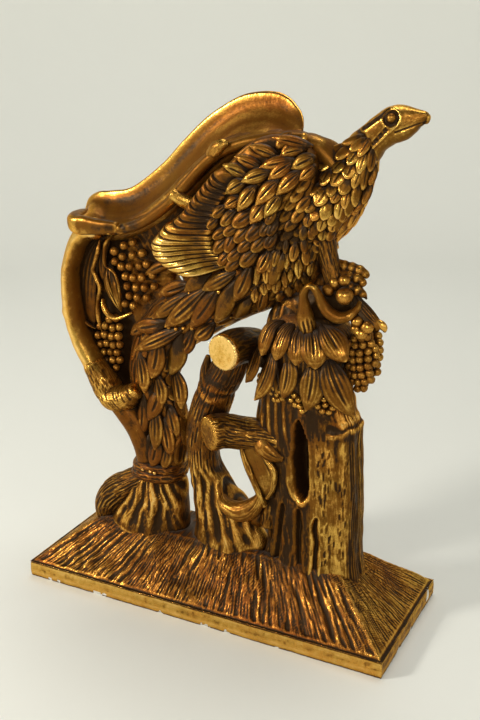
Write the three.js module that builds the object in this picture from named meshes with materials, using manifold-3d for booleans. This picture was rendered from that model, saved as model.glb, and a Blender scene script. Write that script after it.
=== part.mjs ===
// Eagle carving: a gilded wooden eagle above a grapevine stump, on a hipped rectangular base.
// Millimetres, +Z up. The bird looks along +X, the carved front looks along -Y,
// and the origin is the middle of the flat underside. Everything is one carved piece.
import * as THREE from 'three';
import { mergeVertices } from 'three/addons/utils/BufferGeometryUtils.js';
import Module from 'manifold-3d';

const wasm = await Module();
wasm.setup();

// Driving dimensions of the base.
const BASE_LENGTH = 640;
const BASE_DEPTH = 245;
const SLAB_THICKNESS = 28;
const MOUND_TOP = 103;
const MOUND_TOP_LENGTH = 440;
const MOUND_TOP_DEPTH = 80;
const LEDGE = 3;
const LONG_STROKES = 30;
const SHORT_STROKES = 10;
const CHISEL_DEPTH = 5;

// Depths of the carving, measured along Y from the middle of the base.
const FRONT_RIM = -45;
const BACK_RIM = 50;
const PANEL_FRONT = -4;
const PANEL_BACK = 24;
const WING_BACK = 0;
const WING_FRONT = -66;

// Small repeated things.
const GRAPE_RADIUS = 8;
const SCROLL_WALL = 15;
const SCROLL_SAG = 17;

// Stations of the rounded members: x, y, z, half width in the face of the carving, half depth.
const BIRD = [
  [258, -8, 768, 22, 21],
  [239, -7, 752, 24, 23],
  [225, -6, 729, 32, 28],
  [209, -6, 702, 41, 38],
  [182, -5, 670, 52, 50],
  [146, -5, 638, 57, 56],
  [122, -5, 594, 68, 58],
  [74, -5, 556, 60, 54],
  [18, -5, 522, 54, 46],
  [-39, -4, 483, 50, 38],
  [-88, -3, 445, 49, 33],
  [-120, -2, 388, 47, 31],
  [-122, -2, 335, 46, 30],
  [-104, -3, 276, 48, 32],
  [-112, -4, 212, 40, 32],
];
const HEAD = [
  [236, -8, 758, 17, 18],
  [256, -8, 771, 21, 21],
  [278, -8, 779, 22, 21],
  [296, -8, 782, 15, 12],
  [309, -8, 782, 9, 7],
  [317, -8, 777, 4, 3],
];
const BROW = [
  [238, -20, 770, 4, 4],
  [262, -22, 785, 5, 5],
  [288, -19, 790, 5, 5],
  [302, -13, 787, 3, 3],
];
const SHOULDER = [
  [150, -40, 758, 10, 12],
  [174, -34, 746, 15, 20],
  [192, -24, 730, 18, 24],
  [204, -14, 708, 20, 24],
];
const SCROLL_KNOB = [
  [-246, 20, 604, 12, 16],
  [-240, -20, 606, 15, 18],
  [-226, -42, 603, 13, 14],
  [-198, -44, 600, 10, 10],
];
const SCROLL_RIM = [
  [-198, -44, 600, 9, 9],
  [-150, -44, 603, 9, 9],
  [-98, -46, 622, 9, 9],
  [-44, -48, 658, 10, 10],
  [14, -48, 718, 10, 10],
  [60, -48, 742, 9, 9],
  [120, -46, 756, 9, 9],
  [156, -42, 756, 9, 9],
];
const STEM = [
  [-206, -22, 600, 17, 22],
  [-229, -20, 582, 15, 24],
  [-247, -20, 560, 15, 24],
  [-258, -20, 530, 15, 24],
  [-260, -20, 490, 15, 24],
  [-257, -20, 445, 16, 24],
  [-246, -20, 408, 18, 24],
  [-226, -22, 378, 18, 24],
  [-207, -24, 352, 21, 24],
  [-186, -26, 328, 25, 24],
];
const STEM_FOOT = [
  [-194, -30, 334, 19, 18],
  [-173, -30, 314, 20, 18],
  [-152, -28, 290, 19, 18],
  [-133, -25, 255, 19, 18],
  [-126, -20, 215, 22, 20],
];
const SCROLL_BACKING = [
  [-236, 16, 582, 12, 22],
  [-190, 20, 590, 15, 27],
  [-152, 20, 600, 17, 28],
  [-92, 22, 634, 19, 30],
  [-20, 22, 696, 19, 32],
  [34, 22, 732, 19, 32],
  [106, 20, 744, 18, 28],
];
const LEFT_ROOT = [
  [-118, -8, 204, 34, 28],
  [-112, -8, 176, 54, 36],
  [-128, -10, 136, 78, 46],
  [-148, -10, 84, 104, 56],
];
const LEFT_ROOT_LOBE = [
  [-140, -12, 172, 22, 22],
  [-186, -14, 144, 30, 30],
  [-226, -14, 112, 34, 34],
  [-250, -14, 78, 30, 34],
];
const MIDDLE_BRANCH = [
  [52, -46, 452, 27, 27],
  [36, -36, 414, 29, 26],
  [10, -26, 374, 31, 26],
  [-12, -20, 330, 33, 28],
  [-28, -16, 275, 29, 30],
  [-28, -14, 225, 25, 32],
  [-10, -12, 176, 42, 38],
  [10, -10, 130, 66, 46],
  [22, -10, 84, 86, 54],
];
const MIDDLE_SPUR = [
  [-4, -30, 350, 16, 12],
  [-4, -36, 392, 12, 10],
  [0, -40, 424, 4, 4],
];
const SAWN_LOG = [
  [50, -84, 451, 27, 27],
  [54, -50, 450, 28, 28],
  [60, -6, 438, 28, 28],
  [84, 14, 420, 26, 24],
  [114, 16, 412, 24, 22],
];
const SAWN_STUB = [
  [6, -60, 308, 30, 22],
  [34, -44, 305, 28, 24],
  [66, -26, 300, 24, 26],
  [100, -12, 298, 26, 28],
];
const TRUNK = [
  [155, 0, 80, 72, 44],
  [155, 0, 140, 70, 41],
  [153, 0, 220, 75, 40],
  [151, 0, 308, 82, 40],
  [148, -2, 362, 75, 40],
  [150, -6, 430, 62, 40],
  [152, -10, 486, 58, 38],
  [158, -12, 516, 48, 30],
];
const TRUNK_HOLLOW = [
  [150, -44, 352, 8, 14],
  [150, -44, 320, 13, 26],
  [152, -44, 262, 14, 28],
  [156, -44, 218, 10, 22],
];
const PERCH = [
  [150, -16, 520, 34, 34],
  [190, -16, 530, 30, 30],
  [222, -20, 536, 24, 24],
  [236, -20, 528, 14, 14],
];
const TENDRIL = [
  [164, -42, 482, 10, 12],
  [166, -56, 514, 10, 10],
  [169, -61, 545, 8, 8],
  [180, -60, 561, 7, 7],
  [191, -58, 555, 7, 7],
  [202, -54, 537, 7, 7],
  [216, -48, 522, 7, 7],
  [230, -42, 521, 7, 7],
  [238, -34, 532, 7, 7],
];
const RING = { middle: [-120, -6, 202], halfWidth: 36, halfDepth: 32, thickness: 12, dip: 8 };
const TOES = [
  [[186, -30, 606, 16, 16], [204, -36, 578, 9, 9], [222, -40, 568, 8, 8], [228, -42, 550, 5, 5]],
  [[186, -20, 606, 16, 18], [206, -20, 574, 14, 14], [234, -14, 569, 8, 8], [241, -14, 550, 5, 5]],
];
const OVAL_LIP = [
  [22, -30, 180, 16, 20],
  [42, -32, 156, 18, 20],
  [68, -32, 152, 18, 20],
  [86, -32, 176, 12, 16],
  [90, -34, 206, 7, 12],
];
const CURLED_LEAF = [
  [68, -44, 308, 3, 4],
  [62, -40, 282, 8, 9],
  [78, -36, 244, 15, 16],
  [92, -32, 208, 18, 20],
  [98, -28, 166, 18, 20],
];
const BERRY_STALK = [
  [226, -34, 528, 12, 12],
  [236, -30, 504, 16, 14],
  [238, -18, 470, 18, 16],
  [239, -15, 430, 19, 15],
  [240, -15, 400, 8, 8],
];

// Edges of the scroll above the wing, in the plane of its front rim and of its back rim.
const SCROLL_FRONT = [[-236, 606], [-196, 606], [-152, 610], [-100, 630], [-46, 667], [14, 727], [58, 749],
  [118, 762], [166, 766]];
const SCROLL_BACK = [[-266, 604], [-252, 630], [-208, 645], [-154, 662], [-112, 698], [-36, 768], [16, 800],
  [76, 808], [122, 782]];

// Outline of the near wing, and of the panel between the stem and the tail.
const WING_OUTLINE = [[178, 738], [150, 762], [110, 762], [69, 744], [32, 712], [-20, 666], [-66, 622],
  [-80, 596], [-68, 570], [-42, 558], [0, 556], [38, 568], [90, 584], [140, 596], [170, 640], [182, 690]];
const PANEL_OUTLINE = [[-206, 602], [-244, 582], [-258, 530], [-262, 480], [-256, 430], [-236, 390], [-206, 350],
  [-166, 310], [-120, 300], [-70, 400], [0, 520], [110, 560], [170, 660], [172, 730], [130, 762], [64, 754],
  [10, 726], [-54, 664], [-100, 630], [-160, 606]];
const PANEL_HOLE = [-72, 527];
const PANEL_HOLE_RADIUS = 8;

// Long feathers and leaves: root, tip, half width, half thickness.
const TAIL_LEAVES = [
  [[120, -54, 556], [84, -60, 502], 15, 12],
  [[88, -52, 548], [46, -58, 488], 15, 12],
  [[50, -48, 530], [8, -54, 470], 15, 12],
  [[14, -44, 512], [-34, -50, 450], 15, 12],
  [[-20, -40, 494], [-78, -46, 446], 15, 11],
  [[20, -48, 548], [-50, -48, 502], 13, 10],
  [[-40, -38, 512], [-104, -40, 486], 13, 10],
  [[-62, -36, 480], [-132, -38, 446], 14, 10],
  [[-56, -34, 452], [-92, -40, 386], 15, 11],
  [[-88, -34, 452], [-124, -40, 380], 15, 11],
  [[-122, -34, 452], [-150, -38, 392], 13, 10],
  [[-84, -34, 400], [-84, -38, 322], 14, 11],
  [[-116, -34, 392], [-112, -40, 312], 15, 11],
  [[-146, -34, 396], [-136, -38, 318], 12, 10],
  [[-86, -34, 336], [-72, -38, 262], 13, 10],
  [[-112, -34, 330], [-108, -40, 244], 15, 11],
  [[-92, -34, 276], [-76, -38, 216], 12, 10],
];
const WING_LEAVES = [
  [[176, -62, 726], [130, -74, 738], 13, 10],
  [[150, -62, 750], [100, -72, 748], 12, 9],
  [[112, -62, 746], [70, -70, 728], 12, 9],
  [[162, -64, 706], [120, -76, 702], 13, 10],
  [[128, -66, 722], [86, -76, 706], 13, 10],
  [[94, -66, 722], [54, -72, 696], 12, 9],
  [[168, -62, 682], [132, -74, 664], 13, 10],
  [[124, -68, 696], [88, -78, 670], 13, 10],
  [[84, -68, 696], [50, -76, 664], 12, 9],
  [[136, -66, 664], [108, -76, 632], 13, 9],
  [[98, -68, 664], [70, -77, 632], 12, 9],
  [[62, -68, 664], [36, -75, 634], 12, 9],
  [[150, -60, 640], [130, -68, 606], 12, 9],
  [[108, -66, 634], [88, -74, 600], 12, 9],
  [[72, -68, 634], [54, -74, 600], 12, 9],
];
const COLLAR_ROOT = [162, -30, 506];
const UPPER_COLLAR = { tips: [[-74, -34, 452], [-50, -44, 446], [-24, -48, 440], [6, -48, 436], [38, -46, 440],
  [70, -36, 452]], width: 15, thickness: 14 };
const LOWER_COLLAR = { tips: [[-70, -24, 372], [-26, -32, 378], [12, -34, 368], [76, -28, 366]], width: 19,
  thickness: 12 };
const PANEL_LEAVES = [
  [[-214, -4, 586], [-226, -16, 440], 17, 12],
  [[-196, -10, 540], [-186, -22, 448], 13, 11],
];
const HANGING_LEAF = [[226, -20, 552], [272, -20, 500], 8, 7];

// Bunches of grapes: middle of each grape in the plane of the carving.
const UPPER_BUNCH = [[-180, 574], [-162, 568], [-145, 559], [-172, 556], [-156, 546], [-140, 540], [-153, 527],
  [-135, 522], [-149, 508], [-134, 502]];
const LOWER_BUNCH = [[-186, 462], [-168, 462], [-152, 455], [-190, 444], [-172, 443], [-181, 426], [-163, 425],
  [-171, 408]];
const SIDE_BUNCH = { rows: 6, top: 476, pitch: 13.5, spacing: 22, middle: [236, -18],
  widths: [15, 18, 19, 18, 15, 9] };
const COLLAR_GRAPES = [[112, -41, 390], [148, -42, 382], [195, -36, 384], [206, -34, 371], [189, -36, 368]];

const toVector = ([x, y, z]) => new THREE.Vector3(x, y, z);
const upright = new THREE.Vector3(0, 0, 1);
const facing = new THREE.Vector3(0, -1, 0);

// Turns a closed geometry into a solid that can be joined and cut.
function solid(geometry) {
  geometry.deleteAttribute('normal');
  geometry.deleteAttribute('uv');
  const merged = mergeVertices(geometry, 1e-4);
  return new wasm.Manifold(new wasm.Mesh({
    numProp: 3,
    vertProperties: new Float32Array(merged.attributes.position.array),
    triVerts: new Uint32Array(merged.index.array),
  }));
}

// Moves every vertex of a geometry through a function of its old place.
function warp(geometry, place) {
  const position = geometry.attributes.position;
  const point = new THREE.Vector3();
  for (let i = 0; i < position.count; i += 1) {
    point.fromBufferAttribute(position, i);
    const moved = place(point);
    position.setXYZ(i, moved.x, moved.y, moved.z);
  }
  return geometry;
}

// A rounded member along a smooth path, with its own width and depth at each station.
function limb(stations, { sides = 8, steps = 1, flute = 0, square = 0, across = facing } = {}) {
  const path = new THREE.CatmullRomCurve3(stations.map(toVector));
  const girth = new THREE.CatmullRomCurve3(stations.map((s) => new THREE.Vector3(s[3], s[4], 0)));
  const geometry = new THREE.CylinderGeometry(1, 1, 1, sides, (stations.length - 1) * steps);
  warp(geometry, (p) => {
    const t = 0.5 - p.y;
    const along = path.getTangent(t);
    const side = new THREE.Vector3().crossVectors(along, across).normalize();
    const deep = new THREE.Vector3().crossVectors(along, side);
    const size = girth.getPoint(t);
    const angle = Math.atan2(p.z, p.x);
    const corner = 1 + square * Math.sin(2 * angle) ** 2;
    const groove = 1 - flute * (Math.round((angle / Math.PI) * (sides / 2)) % 2 === 0 ? 0 : 1);
    return path.getPoint(t)
      .addScaledVector(side, p.x * size.x * corner * groove)
      .addScaledVector(deep, p.z * size.y * corner * groove);
  });
  return solid(geometry);
}

// A pointed leaf or feather with a ridge, from its root to its tip.
function leaf([root, tip, halfWidth, halfThickness], outward = facing, rows = 3) {
  const start = toVector(root);
  const end = toVector(tip);
  const length = start.distanceTo(end);
  const along = end.clone().sub(start).normalize();
  const side = new THREE.Vector3().crossVectors(outward, along).normalize();
  const up = new THREE.Vector3().crossVectors(along, side);
  const geometry = new THREE.SphereGeometry(1, 4, rows, Math.PI / 4);
  warp(geometry, (p) => {
    const t = (1 - p.y) / 2;
    return start.clone()
      .addScaledVector(along, t * length)
      .addScaledVector(side, (p.x - p.z) * Math.SQRT1_2 * halfWidth)
      .addScaledVector(up, (p.x + p.z) * Math.SQRT1_2 * halfThickness);
  });
  return solid(geometry);
}

function grape(x, y, z) {
  return solid(new THREE.IcosahedronGeometry(GRAPE_RADIUS, 0).translate(x, y, z));
}

// A plate with a smooth outline in the X-Z plane, between two depths.
function plate(outline, front, back, bevel) {
  const points = outline.map(([x, z]) => new THREE.Vector2(x, z));
  const shape = new THREE.Shape(new THREE.SplineCurve([...points, points[0]]).getPoints(outline.length));
  const geometry = new THREE.ExtrudeGeometry(shape, {
    depth: back - front - 2 * bevel,
    bevelSize: bevel,
    bevelThickness: bevel,
    bevelSegments: 1,
    bevelOffset: -bevel,
  });
  geometry.rotateX(Math.PI / 2);
  geometry.translate(0, back - bevel, 0);
  return solid(geometry);
}

// The k-th of the points spaced along a rectangle, starting from a corner.
function alongRectangle(k, length, depth) {
  const sides = [
    [-length / 2, -depth / 2, 1, 0, LONG_STROKES, length],
    [length / 2, -depth / 2, 0, 1, SHORT_STROKES, depth],
    [length / 2, depth / 2, -1, 0, LONG_STROKES, length],
    [-length / 2, depth / 2, 0, -1, SHORT_STROKES, depth],
  ];
  let left = k % (2 * (LONG_STROKES + SHORT_STROKES));
  let side = 0;
  while (left >= sides[side][4]) {
    left -= sides[side][4];
    side += 1;
  }
  const [x, y, dx, dy, count, run] = sides[side];
  return [x + (dx * run * left) / count, y + (dy * run * left) / count];
}

// The slab, and the hipped mound on it whose slopes carry chisel strokes.
function base() {
  const around = 2 * (LONG_STROKES + SHORT_STROKES);
  const rings = 2;
  const inset = 2 * LEDGE;
  const mound = new THREE.CylinderGeometry(1, 1, 1, around, rings);
  warp(mound, (p) => {
    const onAxis = Math.hypot(p.x, p.z) < 0.5;
    const t = p.y + 0.5;
    const k = Math.round((Math.atan2(p.x, p.z) / (2 * Math.PI)) * around) + around;
    const [lowX, lowY] = alongRectangle(k, BASE_LENGTH - inset, BASE_DEPTH - inset);
    const [highX, highY] = alongRectangle(k, MOUND_TOP_LENGTH, MOUND_TOP_DEPTH);
    const stroke = k % 2 === 1 && t > 0.1 && t < 0.9 ? CHISEL_DEPTH : 0;
    const bottom = SLAB_THICKNESS - LEDGE;
    const z = t < 0.1 ? bottom : THREE.MathUtils.lerp(SLAB_THICKNESS, MOUND_TOP, t) - stroke;
    const reach = onAxis ? 0 : 1;
    const x = THREE.MathUtils.lerp(lowX, highX, t) * reach;
    const y = THREE.MathUtils.lerp(lowY, highY, t) * reach;
    return new THREE.Vector3(x, y, z);
  });
  const slab = new THREE.BoxGeometry(BASE_LENGTH, BASE_DEPTH, SLAB_THICKNESS);
  slab.translate(0, 0, SLAB_THICKNESS / 2);
  return solid(slab).add(solid(mound));
}

// The deep smooth trough that sweeps up behind the wing.
function scroll() {
  const lift = ([x, z], y) => new THREE.Vector3(x, y, z);
  const front = new THREE.CatmullRomCurve3(SCROLL_FRONT.map((p) => lift(p, FRONT_RIM)));
  const back = new THREE.CatmullRomCurve3(SCROLL_BACK.map((p) => lift(p, BACK_RIM)));
  const geometry = new THREE.BoxGeometry(1, 1, 1, 14, 3, 1);
  warp(geometry, (p) => {
    const t = p.x + 0.5;
    const v = p.y + 0.5;
    const a = front.getPoint(t);
    const b = back.getPoint(t);
    const along = front.getTangent(t).add(back.getTangent(t)).normalize();
    const normal = new THREE.Vector3().crossVectors(along, b.clone().sub(a)).normalize();
    const hollow = SCROLL_SAG * Math.sin(Math.PI * v);
    return a.lerp(b, v).addScaledVector(normal, -hollow - (0.5 - p.z) * SCROLL_WALL);
  });
  return solid(geometry);
}

// Long primaries stacked like a fan along the trailing edge of the wing.
function primaries() {
  const inner = new THREE.CatmullRomCurve3([[74, 0, 724], [38, 0, 684], [22, 0, 640], [30, 0, 600], [44, 0, 574]]
    .map(toVector));
  const outer = new THREE.CatmullRomCurve3([[62, 0, 744], [4, 0, 692], [-58, 0, 634], [-84, 0, 592],
    [-44, 0, 556], [30, 0, 560]].map(toVector));
  const count = 12;
  const parts = [];
  for (let i = 0; i < count; i += 1) {
    const t = i / (count - 1);
    const root = inner.getPoint(t);
    const tip = outer.getPoint(t);
    parts.push(leaf([[root.x, -60, root.z], [tip.x, -58, tip.z], 9, 15], facing, 2));
  }
  return parts;
}

// The twisted band that ties the foot of the tail.
function ring() {
  const { middle: [x, y, z], halfWidth, halfDepth, thickness, dip } = RING;
  const geometry = new THREE.TorusGeometry(halfWidth, thickness, 6, 12);
  warp(geometry, (p) => new THREE.Vector3(
    x + p.x,
    y + (p.y * halfDepth) / halfWidth,
    z + p.z + (dip * p.y) / halfWidth,
  ));
  return solid(geometry);
}

// Two tiers of leaves that hang round the head of the trunk, and plainer ones behind.
function collar() {
  const [x, y, z] = COLLAR_ROOT;
  const parts = [];
  for (const { tips, width, thickness } of [UPPER_COLLAR, LOWER_COLLAR]) {
    for (const [dx, dy, tipZ] of tips) {
      const root = [x + dx * 0.35, y + dy * 0.3, z - (z - tipZ) * 0.12];
      const outward = new THREE.Vector3(dx * 0.6, dy, 12).normalize();
      parts.push(leaf([root, [x + dx, y + dy, tipZ], width, thickness], outward));
    }
  }
  for (const dx of [-44, 0, 44]) {
    const outward = new THREE.Vector3(dx * 0.2, 30, 12).normalize();
    parts.push(leaf([[x + dx * 0.6, 14, z - 12], [x + dx, 38, 420], 22, 12], outward));
  }
  return parts;
}

function bunches() {
  const parts = [];
  for (const [x, z] of UPPER_BUNCH) {
    parts.push(grape(x, PANEL_FRONT - 3, z));
  }
  for (const [x, z] of LOWER_BUNCH) {
    parts.push(grape(x, PANEL_FRONT - 3, z));
  }
  for (const [x, y, z] of COLLAR_GRAPES) {
    parts.push(grape(x, y, z));
  }
  for (let row = 0; row < SIDE_BUNCH.rows; row += 1) {
    const [cx, cy] = SIDE_BUNCH.middle;
    const reach = SIDE_BUNCH.widths[row];
    const around = Math.max(3, Math.round((2 * Math.PI * reach) / SIDE_BUNCH.spacing));
    for (let i = 0; i < around; i += 1) {
      const angle = (2 * Math.PI * (i + 0.5 * (row % 2))) / around;
      const z = SIDE_BUNCH.top - row * SIDE_BUNCH.pitch;
      parts.push(grape(cx + reach * Math.cos(angle), cy + reach * 0.8 * Math.sin(angle), z));
    }
  }
  return parts;
}

// The stump with its dark hollow, its roots and the sawn branches beside it.
function stump() {
  const trunk = limb(TRUNK, { sides: 14, flute: 0.06, square: 0.12 });
  return [
    trunk.subtract(limb(TRUNK_HOLLOW, { sides: 6 })),
    limb(MIDDLE_BRANCH, { sides: 10, flute: 0.1 }),
    limb(MIDDLE_SPUR, { sides: 5 }),
    limb(SAWN_LOG, { sides: 10, across: upright }),
    limb(SAWN_STUB, { sides: 10 }),
    limb(OVAL_LIP, { sides: 6 }),
    limb(CURLED_LEAF, { sides: 6 }),
  ];
}

function leftVine() {
  const hole = new THREE.CylinderGeometry(PANEL_HOLE_RADIUS, PANEL_HOLE_RADIUS, 80, 8);
  hole.translate(PANEL_HOLE[0], 0, PANEL_HOLE[1]);
  return [
    plate(PANEL_OUTLINE, PANEL_FRONT, PANEL_BACK, 4).subtract(solid(hole)),
    limb(SCROLL_KNOB, { sides: 8, across: upright }),
    limb(SCROLL_RIM, { sides: 6 }),
    limb(SCROLL_BACKING, { sides: 8, square: 0.2 }),
    limb(STEM, { sides: 8 }),
    limb(STEM_FOOT, { sides: 8 }),
    ring(),
    limb(LEFT_ROOT, { sides: 10, flute: 0.12 }),
    limb(LEFT_ROOT_LOBE, { sides: 10, flute: 0.1 }),
    ...PANEL_LEAVES.map((spec) => leaf(spec)),
  ];
}

function perch() {
  return [
    limb(PERCH, { sides: 8 }),
    limb(TENDRIL, { sides: 6 }),
    ...TOES.map((toe) => limb(toe, { sides: 6 })),
    limb(BERRY_STALK, { sides: 8 }),
    leaf(HANGING_LEAF, new THREE.Vector3(0.6, -1, 0.5)),
  ];
}

function bird() {
  return [
    limb(BIRD, { sides: 10 }),
    limb(HEAD, { sides: 8 }),
    limb(SHOULDER, { sides: 8 }),
    limb(BROW, { sides: 5 }),
    plate(WING_OUTLINE, WING_FRONT, WING_BACK, 8),
    ...primaries(),
    ...WING_LEAVES.map((spec) => leaf(spec, facing, 2)),
    ...TAIL_LEAVES.map((spec) => leaf(spec)),
  ];
}

function carve() {
  const parts = [...bird(), scroll(), ...leftVine(), ...stump(), ...collar(), ...perch(), ...bunches()];
  const whole = parts.reduce((joined, part) => joined.add(part), base());
  const mesh = whole.getMesh();
  const geometry = new THREE.BufferGeometry();
  geometry.setAttribute('position', new THREE.BufferAttribute(mesh.vertProperties, 3));
  geometry.setIndex(new THREE.BufferAttribute(mesh.triVerts, 1));
  geometry.computeVertexNormals();
  return geometry;
}

const gilding = new THREE.MeshStandardMaterial({ color: 0x9a6a1c, roughness: 0.38, metalness: 0.75 });
const carving = new THREE.Mesh(carve(), gilding);
carving.name = 'eagle_carving';

const group = new THREE.Group();
group.add(carving);

export default group;
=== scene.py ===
"""Looks of the gilded eagle carving: relief meshes, gilding and patina, in the frame of its solid."""
import math

import bpy
import numpy as np
from mathutils import Matrix, Vector


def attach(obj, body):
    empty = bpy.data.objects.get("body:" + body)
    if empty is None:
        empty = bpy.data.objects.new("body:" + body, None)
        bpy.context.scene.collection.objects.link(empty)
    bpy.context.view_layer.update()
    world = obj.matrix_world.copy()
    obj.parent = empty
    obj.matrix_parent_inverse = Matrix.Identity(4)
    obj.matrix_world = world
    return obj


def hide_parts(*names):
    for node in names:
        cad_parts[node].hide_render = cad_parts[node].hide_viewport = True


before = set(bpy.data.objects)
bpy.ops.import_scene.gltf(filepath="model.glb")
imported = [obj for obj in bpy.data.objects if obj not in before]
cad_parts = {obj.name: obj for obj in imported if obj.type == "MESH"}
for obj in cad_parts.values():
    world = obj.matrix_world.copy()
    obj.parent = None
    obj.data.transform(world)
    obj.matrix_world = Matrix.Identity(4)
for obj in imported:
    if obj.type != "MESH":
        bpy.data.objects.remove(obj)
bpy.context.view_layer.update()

# All the numbers of the carving are millimetres in the frame of its solid: the front faces -Y.
MM = 0.001
BASE_LENGTH, BASE_DEPTH, SLAB, MOUND_TOP = 640.0, 245.0, 28.0, 103.0
TOP_LENGTH, TOP_DEPTH, LEDGE, SLOPE_RUN = 440.0, 80.0, 3.0, 109.0
FRONT = np.array([0.0, -1.0, 0.0])
UP = np.array([0.0, 0.0, 1.0])
# How much of a member's length its grain runs through for each millimetre.
GRAIN = 0.12
# What the gilding reads at every vertex: brightness, redness, varnish with painted shade and painted
# highlight, bare gesso, fine strokes.
MARKS = {"tone": 0.5, "warm": 0.5, "dull": 0.0, "chip": 0.0, "stroke": 0.3}


def unit(v):
    return v / np.maximum(np.linalg.norm(v, axis=-1, keepdims=True), 1e-9)


def hashed(*cells, seed=0):
    """Repeatable numbers from 0 to 1 for whole-number cells."""
    mixed = sum(c * k for c, k in zip(cells, (127.1, 311.7, 74.7)))
    h = np.sin(mixed + seed * 19.19) * 43758.5453
    return h - np.floor(h)


def noise(p, size, seed=0):
    """Smooth noise from -1 to 1, in blobs of about the given size."""
    q = np.asarray(p, float) / size
    cell = np.floor(q)
    f = q - cell
    f = f * f * (3 - 2 * f)
    total = 0.0
    for corner in np.ndindex(2, 2, 2):
        weight = 1.0
        for axis in range(3):
            weight = weight * np.abs(1 - corner[axis] - f[..., axis])
        total = total + weight * hashed(*(cell[..., k] + corner[k] for k in range(3)), seed=seed)
    return 2 * total - 1


def wave(u, seed=0):
    """Smooth noise from -1 to 1 along one coordinate."""
    cell = np.floor(u)
    f = u - cell
    f = f * f * (3 - 2 * f)
    return 2 * (hashed(cell, seed=seed) * (1 - f) + hashed(cell + 1, seed=seed) * f) - 1


def step(low, high, x):
    t = np.clip((x - low) / (high - low), 0, 1)
    return t * t * (3 - 2 * t)


def band(x, middle, width):
    """1 in the middle of a band, falling to 0 on both sides of it."""
    return np.exp(-((x - middle) / width) ** 2)


def bump(x, z, at, size):
    """1 at a place in the face of the carving, falling to 0 about its size away."""
    dx, dz = (x - at[0]) / size[0], (z - at[1]) / size[1]
    return np.exp(-(dx * dx + dz * dz))


class Skin:
    """Points of a skin, the way out of it, the run along its member and the turn round it."""

    def __init__(self, p, out=None, s=None, a=None):
        self.p, self.out, self.s, self.a = p, out, s, a
        self.x, self.y, self.z = p[..., 0], p[..., 1], p[..., 2]

    def near(self, at, size):
        return bump(self.x, self.z, at, size)

    def gap(self, line):
        return line_gap(self.x, self.z, line)


def line_gap(x, z, line):
    """Distance in the face of the carving from a line through points."""
    best = np.full(np.shape(x), 1e9)
    for (ax, az), (bx, bz) in zip(line, line[1:]):
        dx, dz = bx - ax, bz - az
        t = np.clip(((x - ax) * dx + (z - az) * dz) / (dx * dx + dz * dz), 0, 1)
        best = np.minimum(best, np.hypot(x - ax - t * dx, z - az - t * dz))
    return best


def inside(x, z, outline):
    """Whether a place in the face of the carving is inside an outline."""
    hit = False
    for (ax, az), (bx, bz) in zip(outline, outline[1:] + outline[:1]):
        if (az > z) != (bz > z) and x < (bx - ax) * (z - az) / (bz - az) + ax:
            hit = not hit
    return hit


def gouges(u, v, width, length, seed, fill=0.8):
    """Depth from 0 to 1 of long chisel gouges: u runs across them and v along them."""
    column = np.floor(u / width)
    shift = hashed(column, seed=seed)
    row = np.floor(v / length + shift)
    a = u / width - column - 0.5 - 0.3 * (hashed(column, row, seed=seed + 1) - 0.5)
    b = v / length + shift - row - 0.5
    half = 0.28 + 0.18 * hashed(column, row, seed=seed + 2)
    reach = 0.32 + 0.18 * hashed(column, row, seed=seed + 3)
    depth = np.clip(1 - (a / half) ** 2 - (b / reach) ** 4, 0, 1) ** 0.6
    kept = hashed(column, row, seed=seed + 4) < fill
    return depth * kept * (0.55 + 0.45 * hashed(column, row, seed=seed + 5))


def smooth(points, per=16):
    """A Catmull-Rom curve through rows of numbers."""
    p = np.array(points, float)
    p = np.vstack([2 * p[0] - p[1], p, 2 * p[-1] - p[-2]])
    t = np.linspace(0, 1, per, endpoint=False)[:, None]
    out = []
    for a, b, c, d in zip(p, p[1:], p[2:], p[3:]):
        cubic = (3 * b - a - 3 * c + d) * t ** 3
        out.append(0.5 * (2 * b + (c - a) * t + (2 * a - 5 * b + 4 * c - d) * t * t + cubic))
    out.append(p[-2:-1])
    return np.vstack(out)


def even(points, spacing=None, count=None, dims=3):
    """The same curve with evenly spaced rows: the run along it in mm, and the rows."""
    dense = smooth(points)
    legs = np.linalg.norm(np.diff(dense[:, :dims], axis=0), axis=1)
    run = np.concatenate([[0], np.cumsum(legs)])
    count = count or max(4, int(run[-1] / spacing) + 1)
    s = np.linspace(0, run[-1], count)
    return s, np.stack([np.interp(s, run, dense[:, k]) for k in range(dense.shape[1])], 1)


def draws(k, seed):
    """Two repeatable numbers from 0 to 1 for one of many."""
    return hashed(k, seed=seed), hashed(k, seed=seed + 2)


def rooted(ends, longer):
    """Root, middle and tip of a feather, its root moved back under its neighbours."""
    x0, z0, x1, z1 = ends
    x0, z0 = x0 + longer * (x0 - x1), z0 + longer * (z0 - z1)
    return (x0, z0), ((x0 + x1) / 2, (z0 + z1) / 2), (x1, z1)


class Part:
    """Vertices and faces of one piece, with the marks and the grain that the gilding reads."""

    def __init__(self, name):
        self.name = name
        self.points, self.faces, self.marks, self.grains = [], [], [], []
        self.count = 0

    def add(self, points, faces, grain=None, **marks):
        points = np.asarray(points, float).reshape(-1, 3)
        self.points.append(points)
        self.grains.append(points * 0.5 if grain is None else np.asarray(grain, float).reshape(-1, 3))
        self.faces += [f + self.count for f in faces]
        row = np.empty((len(points), len(MARKS)))
        for k, (name, usual) in enumerate(MARKS.items()):
            value = marks.get(name, usual)
            row[:, k] = np.asarray(value).reshape(-1) if np.ndim(value) else value
        self.marks.append(row)
        self.count += len(points)


def grid_faces(rows, cols, wrap=False):
    """Quads of a grid of rows and columns, closed round the columns if wrap."""
    j, i = np.meshgrid(np.arange(rows - 1), np.arange(cols if wrap else cols - 1), indexing="ij")
    k = (i + 1) % cols
    quads = np.stack([j * cols + i, j * cols + k, (j + 1) * cols + k, (j + 1) * cols + i], -1)
    return quads.reshape(-1, 4)


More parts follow.
